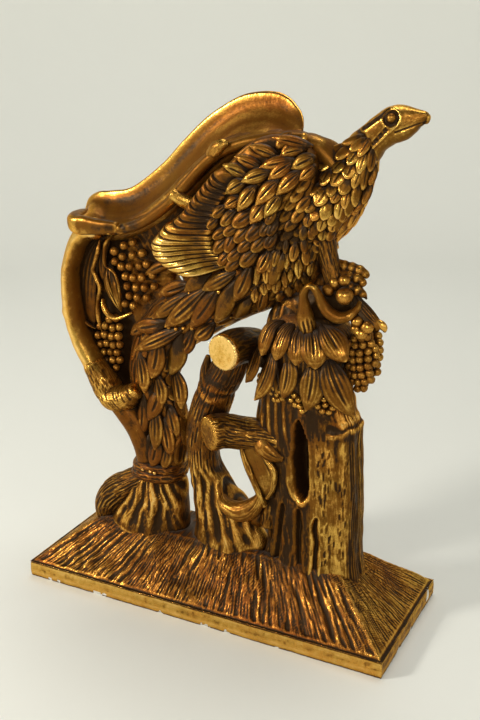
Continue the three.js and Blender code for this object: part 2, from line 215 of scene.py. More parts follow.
def stack(part, start, rows, end, grain=None, **marks):
    """A closed skin through rings of points, from one pole to the other."""
    n, m = rows.shape[:2]
    points = np.vstack([rows.reshape(-1, 3), start[None], end[None]])
    i = np.arange(m)
    k = (i + 1) % m
    first = np.stack([np.full(m, n * m), k, i], 1)
    last = np.stack([np.full(m, n * m + 1), (n - 1) * m + i, (n - 1) * m + k], 1)
    for name, value in marks.items():
        if np.ndim(value) == 2:
            marks[name] = np.concatenate([value.ravel(), [value[0].mean(), value[-1].mean()]])
    if grain is not None:
        grain = np.vstack([grain.reshape(-1, 3), grain[0].mean(0)[None], grain[-1].mean(0)[None]])
    part.add(points, [grid_faces(n, m, wrap=True), first, last], grain, **marks)


# How far round its quarter circle each ring of a rounded end lies.
CAP_TURNS = (0.35, 0.7, 1.05, 1.35)


def rounded(edge, push):
    """Rings that close an edge towards a point pushed out from its middle."""
    middle = edge.mean(0)
    return np.array([middle + (edge - middle) * math.cos(k) + push * math.sin(k) for k in CAP_TURNS])


def tube(part, stations, sides, spacing, across=FRONT, relief=None, square=0.0, ends=(0.6, 0.6), **marks):
    """A rounded member through stations of place, half width and half depth."""
    s, rows = even(stations, spacing)
    path, w, d = rows[:, :3], rows[:, 3][:, None, None], rows[:, 4][:, None, None]
    along = unit(np.gradient(path, axis=0))
    side = unit(np.cross(along, across))
    deep = np.cross(along, side)
    a = np.arange(sides) * 2 * math.pi / sides
    corner = (1 + square * np.sin(2 * a) ** 2)[None, :, None]
    c, n = np.cos(a)[None, :, None], np.sin(a)[None, :, None]
    p = path[:, None] + (side[:, None] * c * w + deep[:, None] * n * d) * corner
    out = unit(side[:, None] * c / w + deep[:, None] * n / d)
    skin = Skin(p, out, *np.broadcast_arrays(s[:, None], a))
    if relief is not None:
        skin = Skin(p + out * relief(skin)[..., None], out, skin.s, skin.a)
        p = skin.p
    caps, poles = [], []
    for end, size in zip((0, -1), ends):
        push = along[end] * min(rows[end, 3], rows[end, 4]) * size * (1 if end else -1)
        caps.append(rounded(p[end], push))
        poles.append(p[end].mean(0) + push)
    whole = np.concatenate([caps[0][::-1], p, caps[1]])
    girth = rows[:, 3:5].mean(1)[:, None]
    fibre = np.stack([np.cos(skin.a) * girth, np.sin(skin.a) * girth, skin.s * GRAIN], -1)
    fibre = np.concatenate([caps[0][::-1] * 0.5, fibre + part.count * 0.37, caps[1] * 0.5])
    for name, value in marks.items():
        if callable(value):
            value = value(skin)
        if np.ndim(value) == 2:
            value = np.pad(value, ((len(CAP_TURNS), len(CAP_TURNS)), (0, 0)), mode="edge")
        marks[name] = value
    stack(part, poles[0], whole, poles[1], fibre, **marks)


def berries(part, places, **marks):
    """Berries at places with their radii."""
    for x, y, z, r in places:
        ball(part, (x, y, z), r, **marks)


def ball(part, centre, radius, sides=14, rows=9, seed=0, **marks):
    """A berry, not quite round."""
    f = np.arange(1, rows) * math.pi / rows
    a = np.arange(sides) * 2 * math.pi / sides
    ring = np.stack([np.outer(np.sin(f), np.cos(a)), np.outer(np.sin(f), np.sin(a)),
                     np.outer(-np.cos(f), np.ones(sides))], -1)
    centre = np.array(centre, float)
    lump = 1 + 0.06 * noise(ring * radius + centre, radius * 0.8, seed)
    marks = {"stroke": 0.1, **marks}
    stack(part, centre - UP * radius, centre + ring * (radius * lump)[..., None], centre + UP * radius,
          **marks)


LEAF_FACES = {}


def leaf_faces(rows, cols):
    """Faces of a closed leaf: a domed top, and a keel below that shares its edges."""
    if (rows, cols) not in LEAF_FACES:
        top = grid_faces(rows, cols)
        root, tip = rows * cols, rows * cols + 1
        keel = rows * cols + 2 + np.arange(rows)
        i = np.arange(cols - 1)
        j = np.arange(rows - 1)
        last = (rows - 1) * cols
        left, right = j * cols, j * cols + cols - 1
        faces = [top,
                 np.stack([np.full(cols - 1, root), i + 1, i], 1),
                 np.stack([np.full(cols - 1, tip), last + i, last + i + 1], 1),
                 np.stack([left, left + cols, keel[j + 1], keel[j]], 1),
                 np.stack([keel[j], keel[j + 1], right + cols, right], 1),
                 np.array([[root, 0, keel[0]], [root, keel[0], cols - 1],
                           [tip, keel[-1], last], [tip, last + cols - 1, keel[-1]]])]
        LEAF_FACES[rows, cols] = [f[:, ::-1] for f in faces]
    return LEAF_FACES[rows, cols]


def leaf_marks(u, v, aged, dull, tone):
    """A leaf is dark at its root and along its edges, where it lies under its neighbours, and bright towards
    its tip, which stands proud: partly dirt and wear, partly painted shade and a painted highlight.
    """
    age_and_shade = aged * (1 - step(0.0, 0.55, v)) + 1.5 * step(0.76, 0.98, np.abs(u)) * (1 - 0.55 * v)
    age_and_shade = age_and_shade - 0.32 * step(0.4, 0.85, v) * (1 - u ** 2)
    tones = tone + 0.3 * (v - 0.5) + 0 * u
    return {"dull": np.concatenate([(dull + age_and_shade).ravel(), [dull + aged, dull], np.full(len(v), dull + 0.6)]),
            "tone": np.concatenate([tones.ravel(), np.full(len(v) + 2, tone)])}


def leaf(part, spine, width, out=FRONT, thick=5.0, sink=5.0, peak=0.45, blunt=0.8, slit=1.5, slit_from=0.0,
         slit_to=0.7, veins=0.0, vein_count=3, lift=0.0, curl=0.0, aged=0.35, rows=16, cols=13, **marks):
    """A carved leaf or feather along its spine, domed, with a slit and veins cut into it."""
    spine = np.array(spine, float)
    outs = np.array(out, float)
    if outs.ndim == 1:
        outs = np.repeat(outs[None], len(spine), 0)
    s, line = even(np.hstack([spine, outs]), count=rows + 2)
    path, outs = line[:, :3], line[:, 3:]
    along = unit(np.gradient(path, axis=0))
    side = unit(np.cross(outs, along))
    up = np.cross(along, side)
    v = np.linspace(0, 1, rows + 2)
    grown = np.where(v < peak, np.sin(0.5 * math.pi * np.clip(v / peak, 0, 1)) ** 0.7,
                     np.cos(0.5 * math.pi * np.clip((v - peak) / (1 - peak), 0, 1)) ** blunt)
    u = np.linspace(-1, 1, cols)
    v2, u2 = v[1:-1, None], u[None, :]
    dome = (1 - np.abs(u2) ** 3.0) * thick * np.minimum(1, 0.35 + grown[1:-1, None])
    bend = 0.16 * (hashed(part.count, seed=5) - 0.5)
    cut = slit * band(u2, bend * np.sin(3 * v2), 0.13)
    cut = cut * step(slit_from - 0.05, slit_from + 0.08, v2) * (1 - step(slit_to - 0.15, slit_to, v2))
    fine = veins * (0.5 + 0.5 * np.cos(u2 * math.pi * 2 * vein_count)) * (1 - u2 ** 2)
    height = dome - cut - fine * (1 - step(0.4, 0.85, v2)) + lift * v2 ** 2 + curl * np.abs(u2) ** 3
    p = path[1:-1, None] + side[1:-1, None] * (u2 * grown[1:-1, None] * width)[..., None]
    p = p + up[1:-1, None] * height[..., None]
    keel = path[1:-1] - up[1:-1] * (sink - lift * v2 ** 2)
    tip = path[-1] + up[-1] * (lift + 0.2 * thick)
    run = v2 * s[-1] * GRAIN
    grain = np.stack([u2 * width + 0 * v2, 0 * (u2 + v2), run + 0 * u2], -1) + part.count * 0.71
    low = np.stack([0 * run[:, 0], 0 * run[:, 0], run[:, 0]], -1) + part.count * 0.71
    marks.update(leaf_marks(u2, v2, aged, marks.get("dull", 0.0), marks.get("tone", 0.5)))
    part.add(np.vstack([p.reshape(-1, 3), path[:1], tip[None], keel]), leaf_faces(rows, cols),
             np.vstack([grain.reshape(-1, 3), grain[0, 0][None], grain[-1, 0][None], low]), **marks)


def border(rows, cols):
    """Numbers of the points round the edge of a grid."""
    last = (rows - 1) * cols
    return np.concatenate([np.arange(cols), np.arange(1, rows) * cols + cols - 1,
                           last + np.arange(cols - 2, -1, -1), np.arange(rows - 2, 0, -1) * cols])


def loft(part, rows, cols, place, grain=None, **marks):
    """A closed plate: place(t, v) gives its two skins as arrays of points, joined round the rim."""
    t, v = np.meshgrid(np.linspace(0, 1, rows), np.linspace(0, 1, cols), indexing="ij")
    upper, lower = place(t, v)
    points = np.vstack([upper.reshape(-1, 3), lower.reshape(-1, 3)])
    top = grid_faces(rows, cols)
    under = top[:, ::-1] + rows * cols
    rim = border(rows, cols)
    after = np.roll(rim, -1)
    wall = np.stack([after, rim, rim + rows * cols, after + rows * cols], 1)
    for name, value in marks.items():
        if callable(value):
            value = value(t, v)
        marks[name] = np.tile(value.ravel(), 2) if np.ndim(value) == 2 else value
    if grain is not None:
        grain = np.tile(grain(t, v).reshape(-1, 3), (2, 1))
    part.add(points, [f[:, ::-1] for f in (top, under, wall)], grain, **marks)


# How large a plate's rings are, from its rim inwards.
RINGS = [1.0, 0.99, 0.97, 0.94, 0.9, 0.85, 0.79, 0.72, 0.64, 0.56, 0.48, 0.4, 0.32, 0.24, 0.16, 0.08]


def plate(part, outline, front, back, steps, relief, hole=None, **marks):
    """A plate with a smooth outline in the face of the carving, its skins drawn as rings to the middle."""
    rim = even(outline + outline[:1], count=steps + 1, dims=2)[1][:-1]
    after = np.roll(rim, -1, axis=0)
    if (rim[:, 0] * after[:, 1] - rim[:, 1] * after[:, 0]).sum() > 0:
        rim = rim[::-1]
    shrink = np.array(RINGS)
    middle, inner = rim.mean(0), np.zeros(2)
    if hole:
        middle = np.array(hole[:2], float)
        shrink = np.append(shrink, 0.0)
        inner = unit(rim - middle) * hole[2]
    ring = middle + inner * (1 - shrink[:, None, None]) + (rim - middle) * shrink[:, None, None]
    skins = []
    for y, order in ((front, -1), (back, 1)):
        # The first rings round the rim off, the last one rounds off a hole.
        edge = np.array([0.45, 0.15, 0.03] + [0.0] * (len(shrink) - 3))
        if hole:
            edge[-1] = 0.35
        deep = y + (0.5 * (front + back) - y) * edge[:, None] + 0 * ring[..., 0]
        p = np.stack([ring[..., 0], deep, ring[..., 1]], -1)
        p[2:, :, 1] += relief(Skin(p[2:])) * order
        skins.append(p[::order])
    if hole:
        n, m = len(shrink), len(rim)
        i = np.arange(m)
        k = (i + 1) % m
        last = (2 * n - 1) * m
        seam = np.stack([last + i, last + k, k, i], 1)
        part.add(np.concatenate(skins), [grid_faces(2 * n, m, wrap=True), seam], **marks)
    else:
        rows = np.concatenate(skins)
        start = np.array([middle[0], rows[0, :, 1].mean(), middle[1]])
        end = np.array([middle[0], rows[-1, :, 1].mean(), middle[1]])
        stack(part, start, rows, end, **marks)


# White spots where the gesso shows: place, and reach along the edge and up the side.
CHIPS = [(-280, -122, 2, 5, 3), (-263, -122, 3, 4, 3), (-184, -122, 1, 10, 4), (-168, -122, 3, 5, 4),
         (-58, -122, 0, 5, 3), (24, -122, 0, 7, 4), (63, -122, 0, 5, 3), (150, -122, 0, 3, 2),
         (320, 93, 15, 7, 11), (320, -46, 0, 6, 5), (320, 10, 1, 5, 4)]


def slopes(x, y):
    """The hipped top of the base: its heights, its grain, and its warm, dull and long-sided places."""
    tx = (BASE_LENGTH / 2 - LEDGE - np.abs(x)) / ((BASE_LENGTH - TOP_LENGTH) / 2 - LEDGE)
    ty = (BASE_DEPTH / 2 - LEDGE - np.abs(y)) / ((BASE_DEPTH - TOP_DEPTH) / 2 - LEDGE)
    rise = np.minimum(tx, ty)
    t = np.clip(rise, 0, 1)
    long_side = step(-0.02, 0.02, tx - ty)
    flat = np.stack([x, y, 0 * x], -1)
    down = t * SLOPE_RUN
    fan = x / (1 - (1 - TOP_LENGTH / BASE_LENGTH) * t) + 5 * wave(x / 34 + 3 * t, 3) * t
    end_fan = y / (1 - (1 - TOP_DEPTH / BASE_DEPTH) * t)
    sway = 2.5 * wave(down / 22 + x * 0.01, 5)
    big = gouges(fan + sway, down + 12, 15.0, 120, 11, 0.55)
    deep = 3.8 * big * (0.7 + 0.5 * step(0.4, 0.7, t))
    deep += 1.5 * gouges(fan + 1.5 * wave(down / 15, 9), down, 5.6, 50, 21, 0.75)
    deep += 0.8 * gouges(fan + sway, down, 3.1, 30, 27, 0.7)
    end_deep = 1.5 * gouges(end_fan + wave(down / 18, 31), down * 1.1, 6.2, 58, 33, 0.85)
    end_deep += 0.8 * gouges(end_fan, down, 3.4, 40, 37, 0.8)
    depth = long_side * deep + (1 - long_side) * end_deep
    fade = step(0.02, 0.10, t) * (1 - 0.5 * step(0.93, 1.0, t))
    swell = 2.2 * noise(flat, 42, 41) + 1.0 * noise(flat, 13, 43)
    z = SLAB + (MOUND_TOP - SLAB) * t ** 1.03 - depth * fade + swell * step(0.02, 0.2, t)
    z = np.maximum(z - 1.5 * step(0.86, 1.0, t), SLAB + 0.4)
    groove = 2.2 * band(rise, 0.006, 0.02)
    z = np.where(rise < 0, SLAB + 0.25 * noise(flat, 9, 44), z) - groove
    warm = 0.80 * long_side + 0.50 * (1 - long_side) + 0.22 * noise(flat, 60, 45)
    dull = 0.5 * step(0.78, 0.95, t) + 0.3 * big * step(0.3, 0.6, t)
    dull += 0.22 * step(0.1, 0.9, hashed(np.floor(fan / 14.0), seed=49))
    dull = dull * long_side - 0.16 - 0.14 * (1 - long_side) + 0.14 * noise(flat, 24, 47) - 0.15 * (rise < 0)
    grain = np.where(long_side[..., None] > 0.5, np.stack([fan, 0 * x, down * 0.16], -1),
                     np.stack([end_fan, 0 * x + 50, down * 0.16], -1))
    return z, grain, warm, dull, long_side


def upright(rim):
    """The upright edge of the base under the rim of its top: rings of points and their chips."""
    levels = np.array([27.0, 24.5, 20, 14, 8, 3, 0.0])
    skirt = np.repeat(rim[None], len(levels), 0)
    skirt[..., 2] = levels[:, None]
    skirt[:-1, :, 2] += 0.5 * noise(skirt[:-1] * [1, 1, 0], 30, 49)
    inward = 0 * rim
    for axis, size in ((0, BASE_LENGTH), (1, BASE_DEPTH)):
        inward[:, axis] = -np.sign(rim[:, axis]) * (np.abs(rim[:, axis]) > size / 2 - 0.01)
    dent = 0.8 * np.clip(noise(skirt, 16, 51), 0, 1) + 0.5 * np.clip(noise(skirt, 5, 53), 0, 1)
    dent += np.array([1.3, 0.3, 0, 0, 0, 0.3, 1.2])[:, None]
    chip = np.zeros(skirt.shape[:2])
    for cx, cy, cz, reach, high in CHIPS:
        near = np.abs(skirt - [cx, cy, cz]) / [reach, reach, high]
        gap = np.linalg.norm(near, axis=-1) + 0.5 * noise(skirt, 3.0, 55)
        chip = np.maximum(chip, step(1.15, 0.8, gap))
    skirt = skirt + inward[None] * (dent + 1.6 * chip)[..., None]
    skirt[-1, :, 2] = 0
    return skirt, chip


def base():
    part = Part("base")
    nx, ny = 384, 144
    x, y = np.meshgrid(np.linspace(-BASE_LENGTH / 2, BASE_LENGTH / 2, nx),
                       np.linspace(-BASE_DEPTH / 2, BASE_DEPTH / 2, ny), indexing="xy")
    z, grain, warm, dull, long_side = slopes(x, y)
    top = np.stack([x, y, z], -1).reshape(-1, 3)
    edge = border(ny, nx)
    rim = top[edge]
    skirt, chip = upright(rim)
    rings, count = skirt.shape[:2]
    i = np.arange(count)
    k = (i + 1) % count
    n_top, floor = nx * ny, nx * ny + rings * count
    last = floor - count
    faces = [grid_faces(ny, nx), np.stack([edge[k], edge[i], n_top + i, n_top + k], 1),
             grid_faces(rings, count, wrap=True)[:, [1, 0, 3, 2]] + n_top,
             np.stack([np.full(count, floor), last + k, last + i], 1)]
    sides = np.stack([skirt[..., 2], 0 * skirt[..., 0] + 90, (skirt[..., 0] + skirt[..., 1]) * 0.08], -1)
    # Painted shade: the long front of the edge is the brightest, its ends and its back are painted darker.
    side_shade = -0.24 + 0.36 * (np.abs(rim[:, 0]) > BASE_LENGTH / 2 - 0.01) + 0.3 * (rim[:, 1] > 122)
    part.add(np.vstack([top, skirt.reshape(-1, 3), [[0, 0, 0]]]), faces,
             np.vstack([grain.reshape(-1, 3), sides.reshape(-1, 3), [[0, 0, 0]]]),
             warm=np.concatenate([warm.ravel(), np.full(rings * count + 1, 0.2)]),
             dull=np.concatenate([dull.ravel(), np.tile(side_shade, rings), [0.6]]),
             chip=np.concatenate([np.zeros(n_top), chip.ravel(), [0]]),
             stroke=np.concatenate([(0.45 + 0.35 * long_side).ravel(), np.full(rings * count + 1, 0.35)]))
    return [part]


def bark(across, along, depth, seed):
    """Relief of long wandering grooves along a member."""
    def relief(q):
        u = q.a * 30 + 2.2 * wave(q.s / 34 + np.floor(q.a * 2), seed)
        rough = -depth * gouges(u + 1.2 * wave(q.s / 17, seed + 1), q.s, across, along, seed + 2, 0.9)
        rough -= 0.45 * depth * gouges(u, q.s + 7, across * 0.45, along * 0.5, seed + 6, 0.8)
        return rough + 0.8 * noise(q.p, 26, seed + 9)
    return relief


# Members are rows of stations: a place, the half width and the half depth there.
TRUNK = [(160, 0, 80, 79, 46), (160, 0, 110, 76, 43), (160, 0, 140, 75, 41), (157, 0, 220, 78, 40),
         (152, 0, 300, 80, 40), (150, -1, 336, 82, 41), (149, -2, 362, 75, 40), (150, -6, 430, 62, 40),
         (152, -10, 486, 58, 38), (158, -12, 516, 48, 30)]
# Arched slots at the trunk's foot: place, top, lean and half width.
SLOTS = [(122, 203, 0.12, 5.0), (149, 200, -0.02, 6.0), (178, 190, 0.0, 5.5), (100, 172, 0.10, 4.0)]
# The dark hollow: its left and right edges from the top down.
HOLLOW = [(151, 346, 1), (151, 336, 7), (153, 316, 11.5), (153, 300, 13), (152, 280, 14), (153, 258, 14),
          (154, 236, 13), (155, 222, 10), (155, 212, 2)]


def hollow_gap(x, z, front):
    """Distance outside the rim of the trunk's hollow, below nothing inside it."""
    run = np.array(HOLLOW[::-1], float)
    middle = np.interp(z, run[:, 1], run[:, 0])
    half = np.interp(z, run[:, 1], run[:, 2], left=0, right=0) + 0.8 * wave(z / 9, 73)
    gap = (np.abs(x - middle) - half) * front + 99 * (1 - front)
    end = np.maximum(z - run[-1, 1], run[0, 1] - z)
    return np.where(end > 0, np.hypot(np.maximum(gap, 0), end), gap)


def dashes(a, z):
    u = 60 * a + 2.4 * wave(z / 30, 61)
    return np.maximum(gouges(u, z + 4 * wave(u / 3.1, 60), 3.1, 14, 63, 0.2),
                      gouges(u + 1.4, z + 6 * wave(u / 4.3, 59), 4.3, 22, 66, 0.2) * 0.8)


def slot_span(x, z, slot):
    """Distance from the middle of an arched slot, in half widths."""
    cx, top, lean, width = slot
    return np.abs(x - cx - lean * (z - top) - 2.0 * wave(z / 24 + cx, 74)) / width


def trunk_relief(q):
    x, z = q.x, q.z
    front = step(-0.1, -0.5, q.out[..., 1])
    right = np.clip(step(0.48, 0.7, q.out[..., 0]) + step(0.2, 0.6, q.out[..., 1]), 0, 1)
    r = 60 * q.a
    left = (1 - right) * step(160, 140, x)
    h = -0.5 * dashes(q.a, z) * (1 - right) * step(134, 150, x)
    h -= (1.4 - 0.9 * step(270, 300, z)) * gouges(r + 3.0 * wave(z / 40, 62), z, 7.5, 50, 64, 0.6) * left
    h -= 1.5 * gouges(r + 2 * wave(z / 60, 65), z, 5.0, 90, 66, 0.95) * right
    h += 1.8 * noise(np.stack([r / 9, 0 * r, z / 60], -1), 1.0, 68) + 0.9 * noise(q.p, 17, 69)
    # The core above the broken bark, and the bark's ragged ledge.
    ledge = 330 + 0.33 * np.maximum(x - 205, 0) + 3.0 * wave(x / 9, 70)
    right_front = step(190, 201, x)
    over = step(-1.5, 1.5, z - ledge)
    h -= 3.2 * right_front * over
    h += 1.6 * right_front * band(z, ledge - 5, 5)
    facet = 3.4 * np.abs(noise(q.p, 22, 71)) * over * right_front
    # Soft folds on the upper left.
    folds = step(150, 128, x) * step(296, 330, z) * front
    h += facet + folds * 0.9 * np.cos((x - 100 + 3 * wave(z / 30, 72)) / 13.5 * 2 * math.pi)
    # The hollow, with a thick smooth lip round its foot.
    gap = hollow_gap(x, z, front)
    h -= 36 * step(0.5, -5.0, gap)
    h += 3.2 * band(gap, 6, 4.5) * step(276, 236, z) * step(170, 154, x)
    for slot in SLOTS:
        top = slot[1]
        span = slot_span(x, z, slot) / np.sqrt(np.clip((top - z) / 30, 0.04, 1))
        h -= 10 * band(span, 0, 0.8) * step(top, top - 6, z) * front
        h += 0.2 * band(span, 2.1, 1.0) * step(top + 6, top - 8, z) * front
    return h + 4 * step(118, 92, z) * (0.5 + 0.5 * np.cos(r / 11))


def trunk_warm(q):
    gold = step(160, 176, q.x) * step(330, 300, q.z)
    core = step(196, 206, q.x) * step(332, 342, q.z)
    return 0.5 - 0.22 * gold + 0.4 * core + 0.25 * noise(q.p, 50, 75)


def trunk_dull_and_shade(q):
    x, z = q.x, q.z
    front = step(-0.1, -0.6, q.out[..., 1])
    golden = step(160, 176, x) * front * step(336, 300, z) * step(0.7, 0.5, q.out[..., 0])
    lip = 0.35 * q.near((150, 208), (22, 12)) + 0.3 * q.near((134, 240), (9, 34))
    lip = lip + 0.35 * q.near((158, 130), (50, 30)) * front
    core = step(196, 206, x) * step(332, 342, z) * step(388, 372, z)
    side = (1 - front) * step(190, 210, x)
    gap = hollow_gap(x, z, front)
    # Painted shade: black inside the hollow and the slots and darker round their rims; the dashes on the
    # golden front are painted dark.
    shade_and_dark_dashes = 1.2 * step(0.0, -3.0, gap) * step(210, 226, z)
    shade_and_dark_dashes = shade_and_dark_dashes + 0.7 * golden * dashes(q.a, z)
    for slot in SLOTS:
        top, span = slot[1], slot_span(x, z, slot)
        shade_and_dark_dashes = np.maximum(shade_and_dark_dashes, 0.6 * step(0.8, 0.3, span) * step(top, top - 12, z) * front)
        shade_and_dark_dashes = shade_and_dark_dashes + 0.5 * band(span, 1.5, 0.8) * step(top + 8, top - 8, z) * front
    shade_and_dark_dashes = shade_and_dark_dashes + 0.5 * band(gap, 4, 4) * step(214, 236, z)
    worn_off = 0.86 * golden + lip + 0.75 * core + 0.4 * side
    return np.clip(0.46 - worn_off + 0.22 * noise(q.p, 30, 77) * (1 - side), -0.45, 0.9) + shade_and_dark_dashes


def stump():
    part = Part("trunk")
    tube(part, [(98, -16, 212, 12, 14), (93, -22, 180, 14, 13), (90, -22, 150, 14, 13)], 40, 3,
         relief=bark(7, 40, 1.2, 85), dull=0.35, warm=0.4)
    tube(part, TRUNK, 244, 2.3, relief=trunk_relief, square=0.12, dull=trunk_dull_and_shade, warm=trunk_warm,
         stroke=0.5)
    # The thick curled leaf at the trunk's left edge, with its two rolled rims.
    leaf(part, [(66, -34, 314), (66, -42, 290), (82, -44, 258), (94, -42, 230), (90, -38, 202)], 20, thick=3,
         sink=16, peak=0.55, blunt=0.9, slit=0.0, curl=3, rows=60, cols=25, aged=0.1, dull=0.0, tone=0.75,
         warm=0.35)
    for rim in ([(66, -38, 312, 2, 3), (57, -42, 293, 4, 5), (63, -46, 268, 5, 6), (76, -47, 238, 5.5, 6),
                 (86, -44, 212, 5, 6), (92, -38, 190, 5, 6)],
                [(68, -38, 310, 2, 3), (92, -42, 280, 4, 5), (110, -43, 256, 5, 6), (109, -43, 228, 5, 5),
                 (98, -40, 206, 4, 5)]):
        tube(part, rim, 26, 2.2, relief=bark(7, 40, 0.7, 81), dull=0.05, warm=0.35, tone=0.7)
    tube(part, [(76, -20, 306, 14, 12), (90, -38, 292, 16, 13), (108, -40, 281, 12, 9),
                (122, -38, 276, 6, 5)], 36, 2.4, relief=bark(8, 30, 0.6, 83), dull=0.45, warm=0.6, tone=0.5)
    return [part]


BRANCH = [(52, -46, 452, 26, 26), (38, -38, 418, 27, 26), (10, -26, 374, 29, 26), (-10, -20, 330, 31, 28),
          (-26, -16, 280, 28, 30), (-27, -14, 225, 25, 30), (-14, -11, 176, 38, 34), (2, -9, 138, 54, 37),
          (12, -9, 108, 66, 39), (14, -9, 84, 70, 41)]
LOG = [(50, -85, 451, 26.5, 26.5), (51, -80, 451, 27.5, 27.5), (54, -50, 450, 28, 28), (60, -6, 438, 28, 28),
       (84, 14, 420, 26, 24), (114, 16, 412, 24, 22)]
STUB = [(11, -66, 308, 27, 25), (15, -60, 308, 29, 26), (28, -44, 307, 28, 26), (56, -28, 302, 26, 27),
        (104, -12, 298, 28, 30)]


def branch_relief(q):
    x, z = q.x, q.z
    r = 34 * q.a
    low = step(252, 200, z)
    fan = (x + 26) / (np.clip(250 - z, 0, 150) * 0.42 + 27)
    ropes = 3.2 * np.cos(fan * 9 + 2.0 * wave(z / 45, 87)) + 1.4 * np.cos(fan * 23 + 3 * wave(z / 34, 88))
    ropes -= 1.5 * gouges(fan * 60 + 4 * wave(z / 30, 90), z, 8.5, 56, 91, 0.7)
    rings = 1.5 * np.cos(q.s / 4.2 + 1.8 * noise(q.p, 20, 93)) * q.near((6, 366), (34, 24))
    rough = -1.7 * gouges(r + 2 * wave(q.s / 26, 95), q.s, 6.5, 46, 96, 0.75)
    ropes *= 0.35 + 0.65 * step(100, 122, z)
    return low * ropes + (1 - low) * (rings + rough) + 1.4 * noise(q.p, 20, 99)


def branches():
    part = Part("branches")
    tube(part, BRANCH, 160, 2.6, relief=branch_relief, stroke=0.8,
         warm=lambda q: 0.5 + 0.35 * q.near((10, 372), (40, 40)),
         dull=lambda q: 0.22 - 0.24 * step(270, 220, q.z) + 0.42 * noise(q.p, 26, 101)
         - 0.25 * q.near((-20, 190), (14, 60)))
    tube(part, [(2, -26, 330, 18, 14), (-4, -32, 362, 15, 13), (-5, -36, 396, 11, 10), (0, -40, 424, 4, 4)],
         48, 3, relief=bark(6, 60, 1.5, 103), dull=0.45, warm=0.4, stroke=0.8)
    # Its sawn end is painted bright: clean pale gold with a painted highlight.
    tube(part, LOG, 90, 2.8, across=UP, relief=bark(6.5, 38, 1.1, 107), ends=(0.02, 0.5), stroke=0.7,
         dull=lambda q: np.where(q.s < 3.5, -0.9, 0.5), warm=0.12,
         tone=lambda q: np.where(q.s < 3.5, 1.0, 0.4))
    tube(part, STUB, 84, 2.2, relief=bark(5.5, 46, 1.3, 111), ends=(0.1, 0.5), stroke=0.8, warm=0.45,
         dull=lambda q: 0.25 - 0.3 * band(q.s, 3, 3) + 0.2 * noise(q.p, 14, 112))
    # The smooth scoop at the foot of the oval gap.
    ball(part, (64, -6, 150), 18, dull=0.9)
    tube(part, [(-2, -14, 192, 5, 7), (20, -34, 176, 11, 14), (44, -41, 171, 16, 16), (64, -42, 177, 17, 15),
                (80, -40, 194, 12, 13), (87, -38, 212, 5, 8)], 52, 2.4,
         relief=bark(9, 60, 0.5, 113), dull=0.05, warm=0.4, tone=0.65)
    return [part]


LEFT_ROOT = [(-118, -8, 204, 36, 29), (-114, -8, 184, 44, 32), (-118, -9, 160, 54, 35),
             (-130, -10, 126, 68, 38), (-140, -11, 100, 78, 41), (-144, -11, 84, 80, 43)]
LOBE = [(-136, -14, 184, 20, 20), (-164, -18, 168, 24, 25), (-196, -18, 144, 28, 28),
        (-216, -18, 120, 26, 28), (-224, -16, 96, 22, 26)]


def broom_relief(q):
    x, z = q.x, q.z
    fan = (x + 116) / (np.clip(206 - z, 4, 130) * 0.55 + 34)
    ropes = 3.2 * np.cos(fan * 10 + 1.6 * wave(z / 40, 121))
    ropes += 1.5 * np.cos(fan * 24 + 2.5 * wave(z / 30, 122))
    ropes -= 1.6 * gouges(fan * 62 + 4 * wave(z / 30, 123), z, 8.0, 50, 125, 0.7)
    fade = step(0.3, -0.4, q.out[..., 1]) * step(206, 180, z) * (0.4 + 0.6 * step(98, 120, z))
    return ropes * fade + 1.4 * noise(q.p, 22, 127)


def left_root():
    part = Part("left_root")
    # A painted highlight: the middle of the root is painted brighter.
    tube(part, LEFT_ROOT, 168, 2.3, relief=broom_relief, warm=0.45, stroke=0.9,
         dull=lambda q: 0.18 + 0.42 * noise(q.p, 24, 129) - 0.5 * q.near((-112, 165), (30, 34))
         - 0.2 * step(196, 210, q.z))
    tube(part, LOBE, 100, 2.2, relief=bark(7, 60, 2.2, 131), warm=0.35, dull=0.2, ends=(0.6, 0.5), stroke=0.9)
    # The band that ties the tail's foot: two swags, one over the other.
    turn = np.linspace(0, 2 * math.pi, 26)
    for lift, grow, seed in ((8, 0, 133), (-5, 3, 137)):
        ring = [(-119 + (38 + grow) * math.cos(k), -6 + (35 + grow) * math.sin(k),
                 204 + lift + 7 * math.sin(k) - 5 * math.cos(2 * k), 8.5, 9) for k in turn]
        tube(part, ring, 30, 2.0, across=UP, relief=bark(6, 18, 1.7, seed), warm=0.8, dull=0.5, stroke=0.8)
    berries(part, ((-126, -46, 210, 3.4), (-112, -46, 209, 3.4), (-104, -46, 208, 3.4)), tone=0.9, dull=-0.2)
    return [part]


STEM = [(-204, -22, 600, 17, 22), (-222, -21, 594, 16, 22), (-238, -20, 578, 14, 23),
        (-249, -20, 556, 14, 23), (-257, -20, 530, 14, 24), (-260, -20, 490, 15, 24),
        (-257, -20, 445, 16, 24), (-246, -20, 410, 17, 24), (-228, -22, 380, 17, 24),
        (-208, -24, 352, 18, 24), (-192, -26, 332, 18, 22)]
FOOT = [(-190, -28, 330, 14, 16), (-174, -30, 314, 19, 19), (-152, -28, 286, 19, 19),
        (-136, -26, 252, 19, 19), (-128, -20, 214, 22, 20)]
SCROLL_FRONT = [(-240, -40, 612), (-222, -40, 622), (-204, -40, 620), (-184, -40, 615), (-164, -40, 613),
                (-138, -40, 616), (-96, -40, 631), (-48, -40, 667), (14, -40, 727), (58, -40, 749),
                (112, -40, 758), (150, -38, 752)]
SCROLL_BACK = [(-264, 46, 612), (-256, 46, 630), (-238, 46, 641), (-214, 46, 645), (-170, 46, 656),
               (-112, 46, 698), (-74, 46, 734), (-36, 46, 767), (-3, 46, 788), (29, 46, 803), (60, 46, 808),
               (86, 45, 807), (105, 42, 800), (119, 35, 790), (130, 25, 780), (138, 8, 766), (139, -8, 750)]


